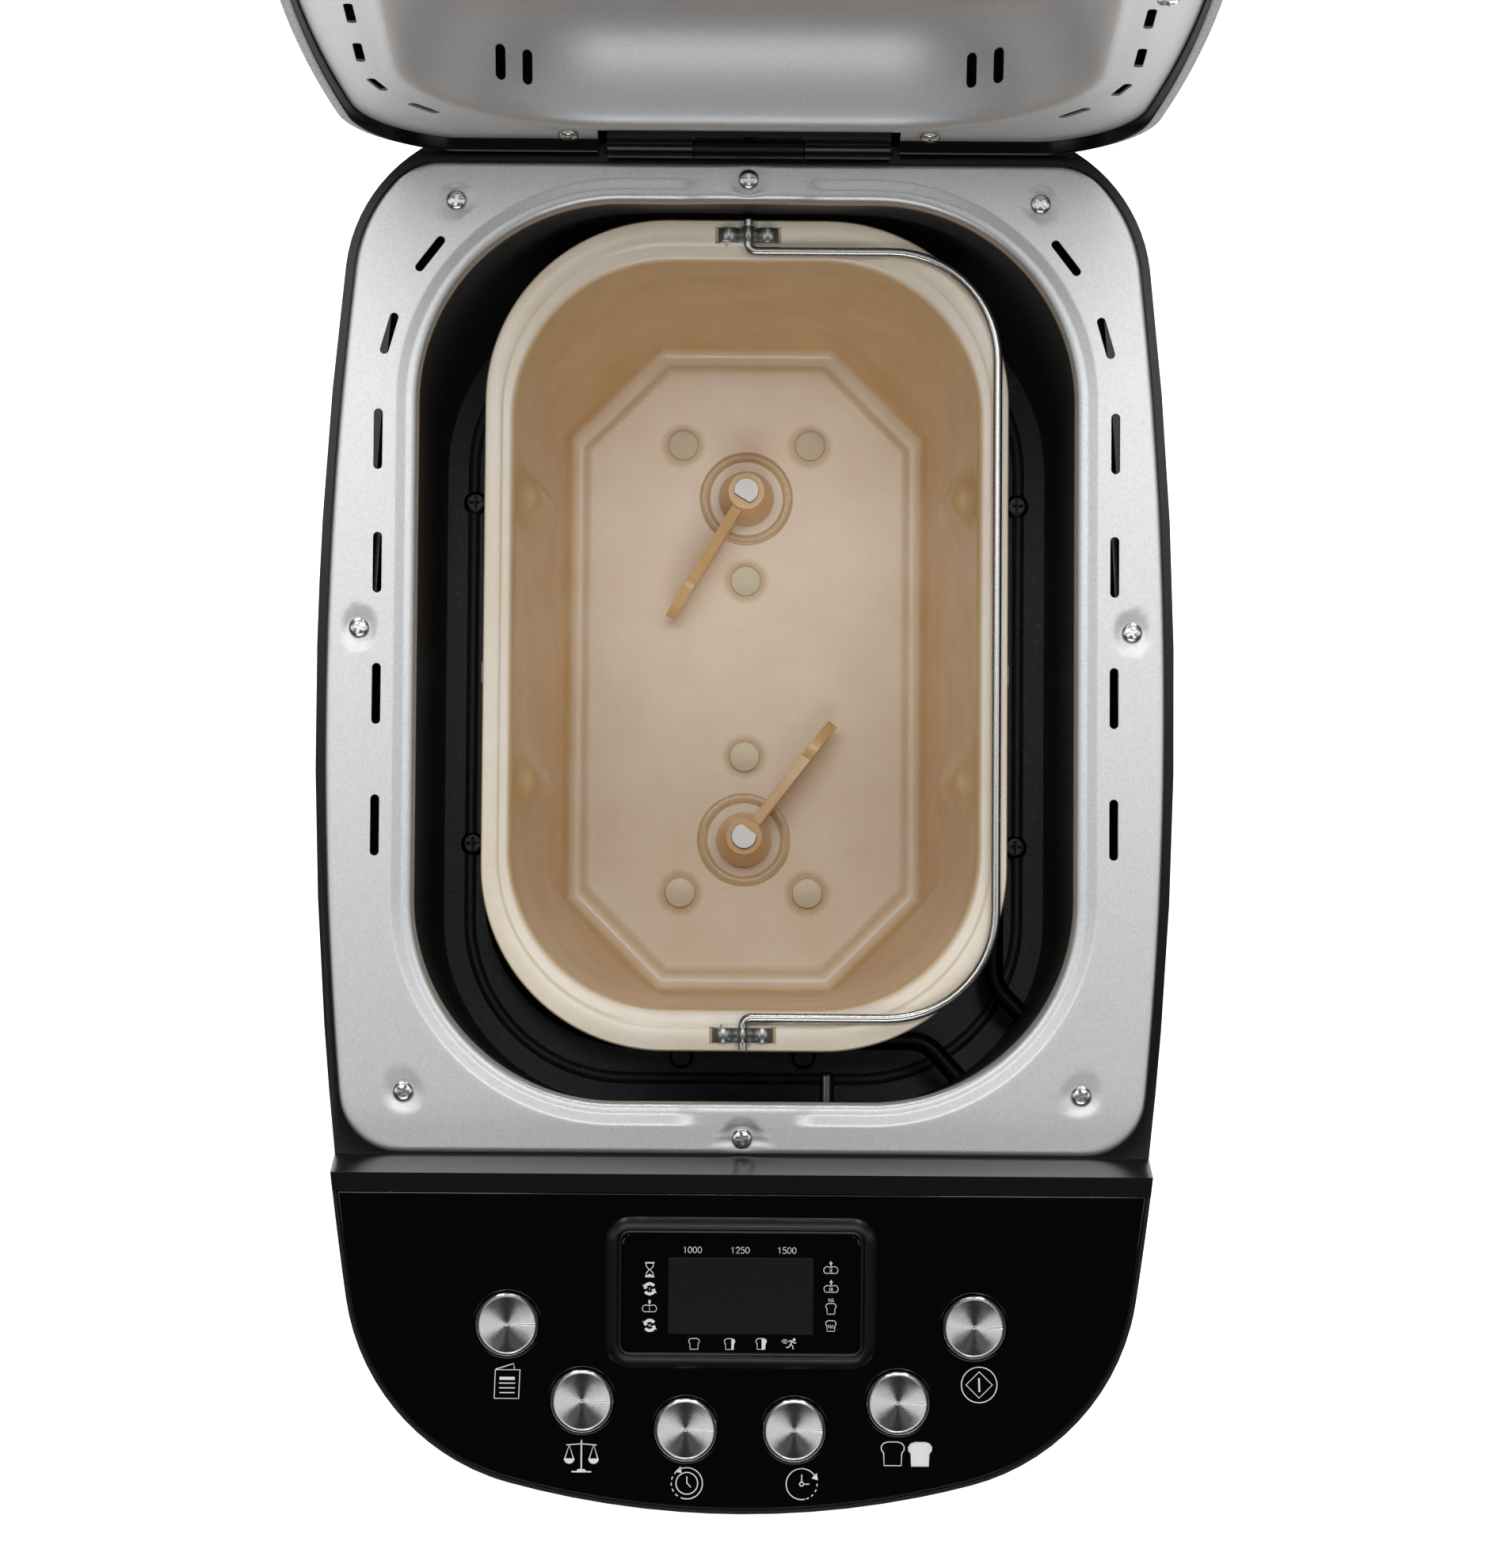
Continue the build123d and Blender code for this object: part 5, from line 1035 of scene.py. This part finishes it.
def make_print():
    """All the white print: numbers and signs over the display, and one sign by each button."""
    parts = []
    for text, x in (("1000", -14.6), ("1250", -0.1), ("1500", 14.1)):
        parts += number(text, x, -185.2, 1.9)
    lens = 0.22
    x, y = -27.7, -191.3
    for sign in (1, -1):
        parts.append(stroke([(x - 1.4, y + sign * 2.1), (x + 1.4, y + sign * 2.1)], 0.4, lens))
        parts.append(stroke([(x - 1.15, y + sign * 1.9), (x - 1.0, y + sign * 1.0), (x - 0.15, y), (x + 0.1,
                                                                                                    y)], 0.24, lens))
        parts.append(stroke([(x + 1.15, y + sign * 1.9), (x + 1.0, y + sign * 1.0), (x + 0.15, y), (x - 0.1,
                                                                                                    y)], 0.24, lens))
    parts.append(fill([(x - 1.2, y - 2.0), (x - 0.7, y - 1.6), (x, y - 1.3), (x + 0.7, y - 1.6), (x + 1.2,
                                                                                                  y - 2.0)], lens))
    parts += turning_arrows(-27.7, -197.1, 2.15, lens, 1) + rising(-27.7, -203.2, lens, 1)
    parts += turning_arrows(-27.6, -208.2, 2.15, lens, 2)
    parts += rising(27.3, -191.2, lens, 2) + rising(27.4, -196.9, lens, 3)
    parts += loaf(27.4, -202.8, 1.6, lens) + steam(27.4, -200.2, lens)
    parts += loaf(27.4, -208.0, 1.6, lens) + steam(27.4, -208.2, lens)
    parts += loaf(-14.1, -213.7, 1.65, lens) + loaf(-3.3, -213.7, 1.65, lens, 0.3) + loaf(6.3, -213.6, 1.65,
                                                                                          lens, 0.45)
    x, y = 15.4, -213.5
    parts.append(fill(arc(x + 0.9, y + 1.3, 0.42, 0, 340, 14), lens))
    for path in (
        [(x + 0.4, y + 0.9), (x - 0.2, y - 0.2)],
        [(x - 0.9, y + 0.7), (x - 0.2, y + 0.95), (x + 0.4, y + 0.8), (x + 0.9, y + 0.2), (x + 1.5, y + 0.4)],
        [(x - 0.2, y - 0.2), (x + 0.5, y - 0.7), (x + 0.6, y - 1.6)],
        [(x - 0.2, y - 0.2), (x - 0.7, y - 1.0), (x - 1.5, y - 1.1)],
    ):
        parts.append(stroke(path, 0.3, lens))
    for k, length in enumerate((1.4, 1.8, 1.2)):
        parts.append(stroke([(x - 1.2 - length, y + 1.2 - 0.5 * k), (x - 1.2, y + 1.2 - 0.5 * k)], 0.16, lens))

    line = 0.3
    x, y = -70.8, -225.7
    parts.append(stroke([(x - 3.9, y - 5.0), (x - 3.6, y + 3.7), (x + 3.9, y + 3.7), (x + 3.5, y - 5.0)], line,
                        closed=True))
    parts.append(stroke([(x - 3.4, y + 3.9), (x + 2.0, y + 5.6), (x + 2.2, y + 4.0)], line))
    for k, half in enumerate((2.3, 2.5, 2.4, 2.3)):
        parts.append(stroke([(x - half, y + 1.4 - 1.45 * k - 0.3), (x + half, y + 1.4 - 1.45 * k - 0.3)],
                            0.9 if k == 0 else 0.3))
    x, y = -48.1, -247.9
    parts.append(stroke([(x, y + 4.8), (x, y - 4.3)], 0.42))
    parts.append(stroke([(x - 4.6, y + 3.2), (x, y + 3.6), (x + 4.6, y + 3.2)], 0.3))
    parts.append(stroke([(x - 3.0, y - 4.9), (x + 3.0, y - 4.9)], 0.4))
    parts.append(fill([(x - 1.6, y - 4.8), (x - 1.0, y - 4.1), (x + 1.0, y - 4.1), (x + 1.6, y - 4.8)]))
    for side in (-3.7, 3.7):
        parts.append(stroke([(x + side - 1.3, y - 0.9), (x + side, y + 3.3), (x + side + 1.3, y - 0.9)], 0.3))
        parts.append(fill(arc(x + side, y - 0.9, 1.6, 180, 360, 14)))
    x, y = -16.0, -256.1
    parts.append(stroke(arc(x, y, 3.3, 0, 352, 48), line, closed=True))
    parts.append(stroke(arc(x, y, 4.75, 118, -112, 48), line))
    parts.append(fill([(x - 3.6, y + 3.4), (x - 1.9, y + 5.2), (x - 1.6, y + 3.2)]))
    parts.append(stroke([(x, y + 2.1), (x, y + 0.1), (x + 1.2, y - 1.2)], line))
    for start in (132, 155, 178, 201, 224):
        parts.append(stroke(arc(x, y, 4.75, start, start + 11, 6), line))
    x, y = 18.9, -256.1
    parts.append(stroke(arc(x, y, 4.7, 30, 283, 60), line))
    parts.append(fill([(x + 4.9, y + 1.2), (x + 3.0, y + 1.8), (x + 4.6, y + 3.4)]))
    for start in (-8, -30, -52, -72):
        parts.append(stroke(arc(x, y, 4.7, start, start + 10, 6), line))
    parts.append(stroke(arc(x, y, 0.6, 0, 330, 16), 0.3, closed=True))
    parts.append(stroke([(x, y + 0.6), (x, y + 2.9)], line))
    parts.append(stroke([(x + 0.6, y), (x + 2.3, y)], line))
    parts += loaf(46.5, -246.7, 3.6, 0.02, 0.0, line) + loaf(54.8, -246.8, 3.6, 0.02, 1.0, line)
    x, y = 72.6, -225.6
    parts.append(stroke(arc(x, y, 5.4, 0, 354, 60), line, closed=True))
    parts.append(stroke([(x, y + 4.0), (x - 4.0, y), (x, y - 4.0), (x + 4.0, y)], line, closed=True))
    parts.append(stroke([(x - 0.1, y + 2.1), (x + 0.1, y - 2.1)], 0.5))
    points, faces = together(*parts)
    piece("panel_print", (on_panel(points), faces), "machine", FINISH["white_ink"], sharp=12)


def make_display():
    """Display: a sloping surround, a black cover and the grey glass seen through it."""
    rings = []
    for inset, height in ((0.0, -0.5), (0.0, 0.1), (0.15, 0.3), (2.9, 1.35), (3.3, 1.4), (3.6, 1.25), (3.9, 0.5),
                          (4.2, 0.3), (4.85, 0.28), (4.85, -0.5)):
        rings.append(ring(rounded(41.2 - inset, 22.9 - inset, max(7.5 - inset, 2.6), -198.2), height))
    points, faces = skin(rings, closed=True)
    piece("display_surround", (on_panel(points), faces), "machine", FINISH["bezel"],
          ("display_bezel",))
    rings = [ring(rounded(36.2 - i, 17.9 - i, 3.7, -198.2), z) for i, z in ((0.0, -1.2), (0.0, 0.05), (0.25, 0.2))]
    points, faces = skin(rings, True, True)
    piece("display_cover", (on_panel(points), faces), "machine", FINISH["gloss_black"],
          ("display_lens",), sharp=12)
    rings = [ring(rounded(22.0 - i, 11.5 - i, 0.6, -199.1), z) for i, z in ((0.0, 0.15), (0.0, 0.21), (0.06, 0.23))]
    points, faces = skin(rings, True, True)
    piece("display_field", (on_panel(points), faces), "machine", FINISH["display_glass"], sharp=12)


# ---------------------------------------------------------------------------
# Fittings
# ---------------------------------------------------------------------------


def strap(path, low, high, half):
    """An upright strap: a rounded rectangle section, half thick each way, carried along a path in plan."""
    path = np.asarray(path, float)
    ahead = np.gradient(path, axis=0)
    ahead /= np.linalg.norm(ahead, axis=1)[:, None]
    side = np.c_[-ahead[:, 1], ahead[:, 0]]
    rings = []
    for out, z in ((1, low + 0.2), (1, high - 0.25), (0.7, high), (-0.7, high), (-1, high - 0.25), (-1, low + 0.2),
                   (-0.7, low), (0.7, low)):
        rings.append(np.c_[path + side * half * out, np.full(len(path), z)])
    return skin(np.stack(rings, axis=1), cap_first=True, cap_last=True)


def make_screws(name, places, base, put, body, node, up=1.0):
    """Pan-head screws: a domed round head with a cross recess cut into it; up is the side the heads are on."""
    heads, crosses = [], []
    for k, place in enumerate(places):
        profile = ((3.2, 0.0), (3.2, 0.8), (3.05, 1.2), (2.6, 1.55), (1.8, 1.75), (0.9, 1.85), (0.01, 1.88))
        heads.append(revolved([(r, base + up * h) for r, h in profile], place, 40))
        lean = 0.7 * k
        c, t = cos(lean), sin(lean)
        arm, half = 2.0, 0.55
        plus = np.array([(half, arm), (-half, arm), (-half, half), (-arm, half), (-arm, -half), (-half, -half),
                         (-half, -arm), (half, -arm), (half, -half), (arm, -half), (arm, half), (half, half)])
        plus = plus @ np.array([[c, t], [-t, c]]) + place
        crosses.append(skin([ring(plus, base + up * 0.8), ring(plus, base + up * 3.0)], True, True))
    points, faces = together(*heads)
    obj = piece(name, (put(points), faces), body, FINISH["screw"], (node,))
    points, faces = together(*crosses)
    cut(obj, put(points), faces)


def make_ribs():
    """Raised beads pressed in the chamber's floor: low half-round sections carried round rounded rectangles."""
    parts = []
    for inset, high in ((9.0, 1.6), (24.0, 1.4)):
        rings = []
        for out, z in ((2.2, -0.2), (1.6, 0.6), (0.8, 0.95), (0.0, 1.0), (-0.8, 0.95), (-1.6, 0.6), (-2.2, -0.2)):
            rings.append(ring(rounded(103.0 - inset + out, 141.0 - inset + out, 63.5 - inset + out), 62.0 + high * z))
        parts.append(skin(rings, closed=True))
    points, faces = together(*parts)
    piece("chamber_ribs", (on_machine(points), faces), "machine", FINISH["dark_enamel"])


def make_fittings(sizes):
    """Folded steel clips that hold the bail, rivet heads, and softened paddles."""
    t = np.linspace(-1, 1, 73)
    lobes = np.abs(np.cos(1.5 * pi * t))
    height = 217.9 + lobes * np.where(np.abs(t) < 1 / 3, 4.5, 1.9)
    clips = []
    for sign in (1, -1):
        points, faces = strap(np.c_[t * 9.2, height], PAN_Y + sign * CLIP_Y - 2.3, PAN_Y + sign * CLIP_Y + 2.3, 0.45)
        clips.append((points[:, [0, 2, 1]], faces))
        curl = arc(-7.4, 0.0, 0.7, -60, 150, 20) * (1, sign) + (0, PAN_Y + sign * 123.75)
        clips.append(strap(curl, 217.6, 220.2, 0.28))
    points, faces = together(*clips)
    piece("bail_clips", (on_machine(points), faces), "pan", FINISH["steel"], ("bail_brackets",))
    plan = ((0, BAIL_TIP_Y), (0, BAIL_Y), (BAIL_X, BAIL_Y), (BAIL_X, -BAIL_Y), (0, -BAIL_Y), (0, -BAIL_TIP_Y))
    corners = [(x, y, PIVOT_Z) for x, y in plan]
    points, faces = tube(bent(corners, (2.6, 34.0, 34.0, 2.6), 0.8) + (0.0, PAN_Y, 0.0), sizes.wire_radius / MM, 28)
    piece("bail_wire", (on_machine(points), faces), "bail", FINISH["bail_wire"], ("bail_handle",))
    make_screws("deck_screw_heads", DECK_SCREWS, DECK_Z - 0.6, on_machine, "machine", "deck_screws")
    make_screws("lid_screw_heads", LID_SCREWS, LINER_Z - 0.1, on_lid, "lid", "lid_screws", -1.0)
    heads = []
    for sign in (1, -1):
        for angle in (40, 140, 270):
            x = 28.2 * cos(radians(angle))
            y = PAN_Y + sign * (SHAFT_Y + 28.2 * sin(radians(angle)))
            heads.append(revolved(((5.1, 85.9), (5.1, 87.7), (4.9, 88.0), (4.4, 88.1), (0.01, 88.1)), (x, y), 48))
    points, faces = together(*heads)
    piece("rivet_heads", (on_machine(points), faces), "pan", FINISH["rivet"], ("pan_rivets",))
    for end in ("front", "rear"):
        soft_copy(end + "_paddle", end + "_kneader", FINISH["paddle"], 0.8, sharp=28)


def make_body():
    """The body's mouldings with softened edges, the lid's black rim, and the chamber's ribs."""
    make_ribs()
    soft_copy("top_frame", "machine", FINISH["black_plastic"], 0.5)
    soft_copy("control_panel", "machine", FINISH["gloss_black"], 0.4)
    rings = [ring(lid_line(i), z) for i, z in ((2.4, 256.0), (2.4, 243.0), (2.7, 242.65), (3.3, 242.65), (3.7, 243.2),
                                               (3.7, 256.0))]
    points, faces = skin(rings, closed=True)
    obj = piece("lid_rim", (on_lid(points), faces), "lid", FINISH["black_plastic"], ("lid_frame",))
    notch = np.array([(47.0, 149.0), (47.0, 170.0), (-47.0, 170.0), (-47.0, 149.0)])
    points, faces = skin([ring(notch, 238.0), ring(notch, 260.0)], True, True)
    cut(obj, on_lid(points), faces)


# ---------------------------------------------------------------------------
# Operators
# ---------------------------------------------------------------------------


def make_stage(sizes):
    """Pale floor, soft boxes, and the camera over the machine."""
    scene = bpy.context.scene
    world = bpy.data.worlds.new("studio")
    world.use_nodes = True
    world.node_tree.nodes["Background"].inputs["Color"].default_value = linear("#ffffff")
    world.node_tree.nodes["Background"].inputs["Strength"].default_value = sizes.room_light
    scene.world = world
    scene.view_settings.view_transform = "Standard"

    material, tree, shader = finish_of("pale floor", "#ffffff", 0.9, Emission_Color=(1.0, 1.0, 1.0, 1.0),
                                       Emission_Strength=0.8)
    grain(tree, shader, 60.0, 0.02)
    sides, bands, reach = 64, 24, 12.0
    a = np.linspace(0, 2 * pi, sides, endpoint=False)
    rings = [np.c_[r * np.cos(a), r * np.sin(a), np.zeros(sides)] for r in np.linspace(0.01, 1, bands) ** 2 * reach]
    points, faces = skin(rings, cap_first=True)
    mesh = bpy.data.meshes.new("floor")
    mesh.from_pydata(points.tolist(), [], faces)
    mesh.materials.append(material)
    floor = bpy.data.objects.new("floor", mesh)
    scene.collection.objects.link(floor)

    for name, where, size, power in (
        ("high_box", (0.0, 0.55, 2.5), (1.8, 0.5), sizes.high_light),
        ("back_box", (0.0, 0.75, 2.3), (2.2, 0.7), sizes.back_light),
        ("rear_box", (0.0, 2.2, 1.6), (2.2, 0.8), sizes.rear_light),
        ("left_box", (-1.5, 0.1, 1.9), (0.7, 1.4), sizes.side_light),
        ("right_box", (1.5, 0.1, 1.9), (0.7, 1.4), sizes.side_light),
        ("front_box", (0.0, -1.6, 2.1), (1.4, 0.8), sizes.front_light),
    ):
        light = bpy.data.lights.new(name, "AREA")
        light.shape, light.size, light.size_y, light.energy = "RECTANGLE", size[0], size[1], power
        lamp = bpy.data.objects.new(name, light)
        scene.collection.objects.link(lamp)
        away = np.array(where) - (0, 0, 0.2)
        ahead = away / np.linalg.norm(away)
        side = np.cross((0.0, 0.0, 1.0), ahead)
        side /= np.linalg.norm(side)
        up = np.cross(ahead, side)
        lamp.matrix_world = Matrix([[*row, place] for row, place in zip(np.c_[side, up, ahead].tolist(),
                                                                        where)] + [[0, 0, 0, 1]])

    camera = bpy.data.cameras.new("over_machine")
    camera.lens = sizes.lens
    camera.clip_start = 0.05
    shot = bpy.data.objects.new("over_machine", camera)
    scene.collection.objects.link(shot)
    shot.matrix_world = (
        Matrix.Translation((-0.00044, -0.12434, 1.83))
        @ Matrix.Rotation(sizes.tilt, 4, "X")
        @ Matrix.Rotation(radians(0.41), 4, "Z")
    )
    scene.camera = shot


class BreadMachineStage(bpy.types.PropertyGroup):
    """Stage sizes and light."""

    lens: bpy.props.FloatProperty(name="Lens", description="Focal length", default=118.0, unit="CAMERA")
    tilt: bpy.props.FloatProperty(name="Tilt", description="Camera tilt from straight down",
                                  default=radians(3.6148), subtype="ANGLE")
    room_light: bpy.props.FloatProperty(name="Room light", description="Strength of the even room light",
                                        default=0.03)
    high_light: bpy.props.FloatProperty(name="High box", description="Power of the box overhead", default=10.5,
                                        unit="POWER")
    back_light: bpy.props.FloatProperty(name="Back box", description="Power of the box behind", default=6.0,
                                        unit="POWER")
    rear_light: bpy.props.FloatProperty(name="Rear box", description="Power of the low box far behind", default=85.0,
                                        unit="POWER")
    side_light: bpy.props.FloatProperty(name="Side boxes", description="Power of each side box", default=4.2,
                                        unit="POWER")
    front_light: bpy.props.FloatProperty(name="Front box", description="Power of the front box", default=14.0,
                                         unit="POWER")


class BreadMachineSizes(bpy.types.PropertyGroup):
    """Sizes of the pieces that may be varied without a new frame."""

    deck_step: bpy.props.FloatProperty(name="Deck step", description="Depth of the deck's inner band below its flat",
                                       default=1.0 * MM, unit="LENGTH")
    cover_wall: bpy.props.FloatProperty(name="Cover wall", description="Thickness of the lid cover, measured inwards",
                                        default=2.2 * MM, unit="LENGTH")
    wire_radius: bpy.props.FloatProperty(name="Wire radius", description="Radius of the bail wire",
                                         default=1.5 * MM, unit="LENGTH")


def tint(name, description, code):
    """A colour property whose default is an sRGB hex colour."""
    return bpy.props.FloatVectorProperty(name=name, description=description, default=linear(code)[:3],
                                         subtype="COLOR", size=3, min=0.0, max=1.0)


class BreadMachineFinishes(bpy.types.PropertyGroup):
    """Colours of the main finishes."""

    plastic: tint("Plastic", "Moulded black plastic", "#070707")
    cover: tint("Cover", "Flake paint on the lid cover", "#5a5c5e")
    shell: tint("Shell", "Moulded side shell", "#1b1b1c")
    deck: tint("Deck", "Silver coat on the deck", "#c6c7c8")
    liner: tint("Liner", "Silver coat on the lid liner", "#d3d4d6")
    enamel: tint("Enamel", "Enamel of the oven chamber", "#59595b")
    rivet: tint("Rivet", "Coated rivets in the pan", "#d6ccb5")
    wire: tint("Wire", "Steel of the bail wire", "#b9b9b7")


# Nodes whose surface differs from the rest of their slot.
SPECIAL = {
    "outer_shell": "shell_plastic",
    "front_pan_shaft": "ground_steel",
    "rear_pan_shaft": "ground_steel",
    "hinge_pin": "black_screw",
    "hinge_bracket": "black_screw",
    "bail_handle": "bail_wire",
    "chamber_screws": "enamel_screw",
}


class BREAD_OT_stage(bpy.types.Operator):
    """Floor, lights and camera"""

    bl_idname = "bread.stage"
    bl_label = "Stage"

    def execute(self, context):
        make_stage(context.scene.bread_stage)
        return {"FINISHED"}


class BREAD_OT_finishes(bpy.types.Operator):
    """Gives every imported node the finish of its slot"""

    bl_idname = "bread.finishes"
    bl_label = "Finishes"

    def execute(self, context):
        FINISH.update(make_materials(context.scene.bread_finishes))
        for row in frame["record"]["subparts"]:
            obj = frame["nodes"][row["node"]]
            for slot in obj.material_slots:
                slot.material = FINISH[SPECIAL.get(row["node"], row["material_slot"])]
            if not obj.material_slots:
                raise RuntimeError("no material slot on " + row["node"])
        return {"FINISHED"}


class BREAD_OT_deck(bpy.types.Operator):
    """Pressed deck plate with its mouth, step, dishes and vents"""

    bl_idname = "bread.deck"
    bl_label = "Deck"

    def execute(self, context):
        make_deck(context.scene.bread_sizes)
        return {"FINISHED"}


class BREAD_OT_pan(bpy.types.Operator):
    """Coated pan with its rim, dents and floor pad"""

    bl_idname = "bread.pan"
    bl_label = "Pan"

    def execute(self, context):
        make_pan()
        return {"FINISHED"}


class BREAD_OT_buttons(bpy.types.Operator):
    """Spun buttons with bright rims"""

    bl_idname = "bread.buttons"
    bl_label = "Buttons"

    def execute(self, context):
        make_buttons()
        return {"FINISHED"}


class BREAD_OT_lid(bpy.types.Operator):
    """Liner dome and cover shell"""

    bl_idname = "bread.lid"
    bl_label = "Lid"

    def execute(self, context):
        make_liner()
        make_cover(context.scene.bread_sizes)
        return {"FINISHED"}


class BREAD_OT_display(bpy.types.Operator):
    """Display surround, cover, glass and the white print"""

    bl_idname = "bread.display"
    bl_label = "Display and print"

    def execute(self, context):
        make_display()
        make_print()
        return {"FINISHED"}


class BREAD_OT_fittings(bpy.types.Operator):
    """Bail clips, rivet heads and paddles"""

    bl_idname = "bread.fittings"
    bl_label = "Fittings"

    def execute(self, context):
        make_fittings(context.scene.bread_sizes)
        return {"FINISHED"}


class BREAD_OT_body(bpy.types.Operator):
    """Body mouldings with softened edges"""

    bl_idname = "bread.body"
    bl_label = "Body"

    def execute(self, context):
        make_body()
        return {"FINISHED"}


OPERATORS = (BREAD_OT_stage, BREAD_OT_finishes, BREAD_OT_deck, BREAD_OT_pan, BREAD_OT_buttons,
             BREAD_OT_lid, BREAD_OT_display, BREAD_OT_fittings, BREAD_OT_body)


class BREAD_PT_pieces(bpy.types.Panel):
    """Lists the pieces and their sizes"""

    bl_label = "Bread Machine"
    bl_space_type = "VIEW_3D"
    bl_region_type = "UI"
    bl_category = "Bread Machine"

    def draw(self, context):
        for kind in OPERATORS:
            self.layout.operator(kind.bl_idname)
        scene = context.scene
        for group in (scene.bread_stage, scene.bread_sizes, scene.bread_finishes):
            for name in type(group).__annotations__:
                self.layout.prop(group, name)


CLASSES = (BreadMachineStage, BreadMachineSizes, BreadMachineFinishes, *OPERATORS, BREAD_PT_pieces)


def register():
    for kind in CLASSES:
        bpy.utils.register_class(kind)
    bpy.types.Scene.bread_stage = bpy.props.PointerProperty(type=BreadMachineStage)
    bpy.types.Scene.bread_sizes = bpy.props.PointerProperty(type=BreadMachineSizes)
    bpy.types.Scene.bread_finishes = bpy.props.PointerProperty(type=BreadMachineFinishes)


def unregister():
    del bpy.types.Scene.bread_finishes
    del bpy.types.Scene.bread_sizes
    del bpy.types.Scene.bread_stage
    for kind in reversed(CLASSES):
        bpy.utils.unregister_class(kind)


def main():
    register()
    for kind in OPERATORS:
        group, name = kind.bl_idname.split(".")
        getattr(getattr(bpy.ops, group), name)()


if __name__ == "__main__":
    main()
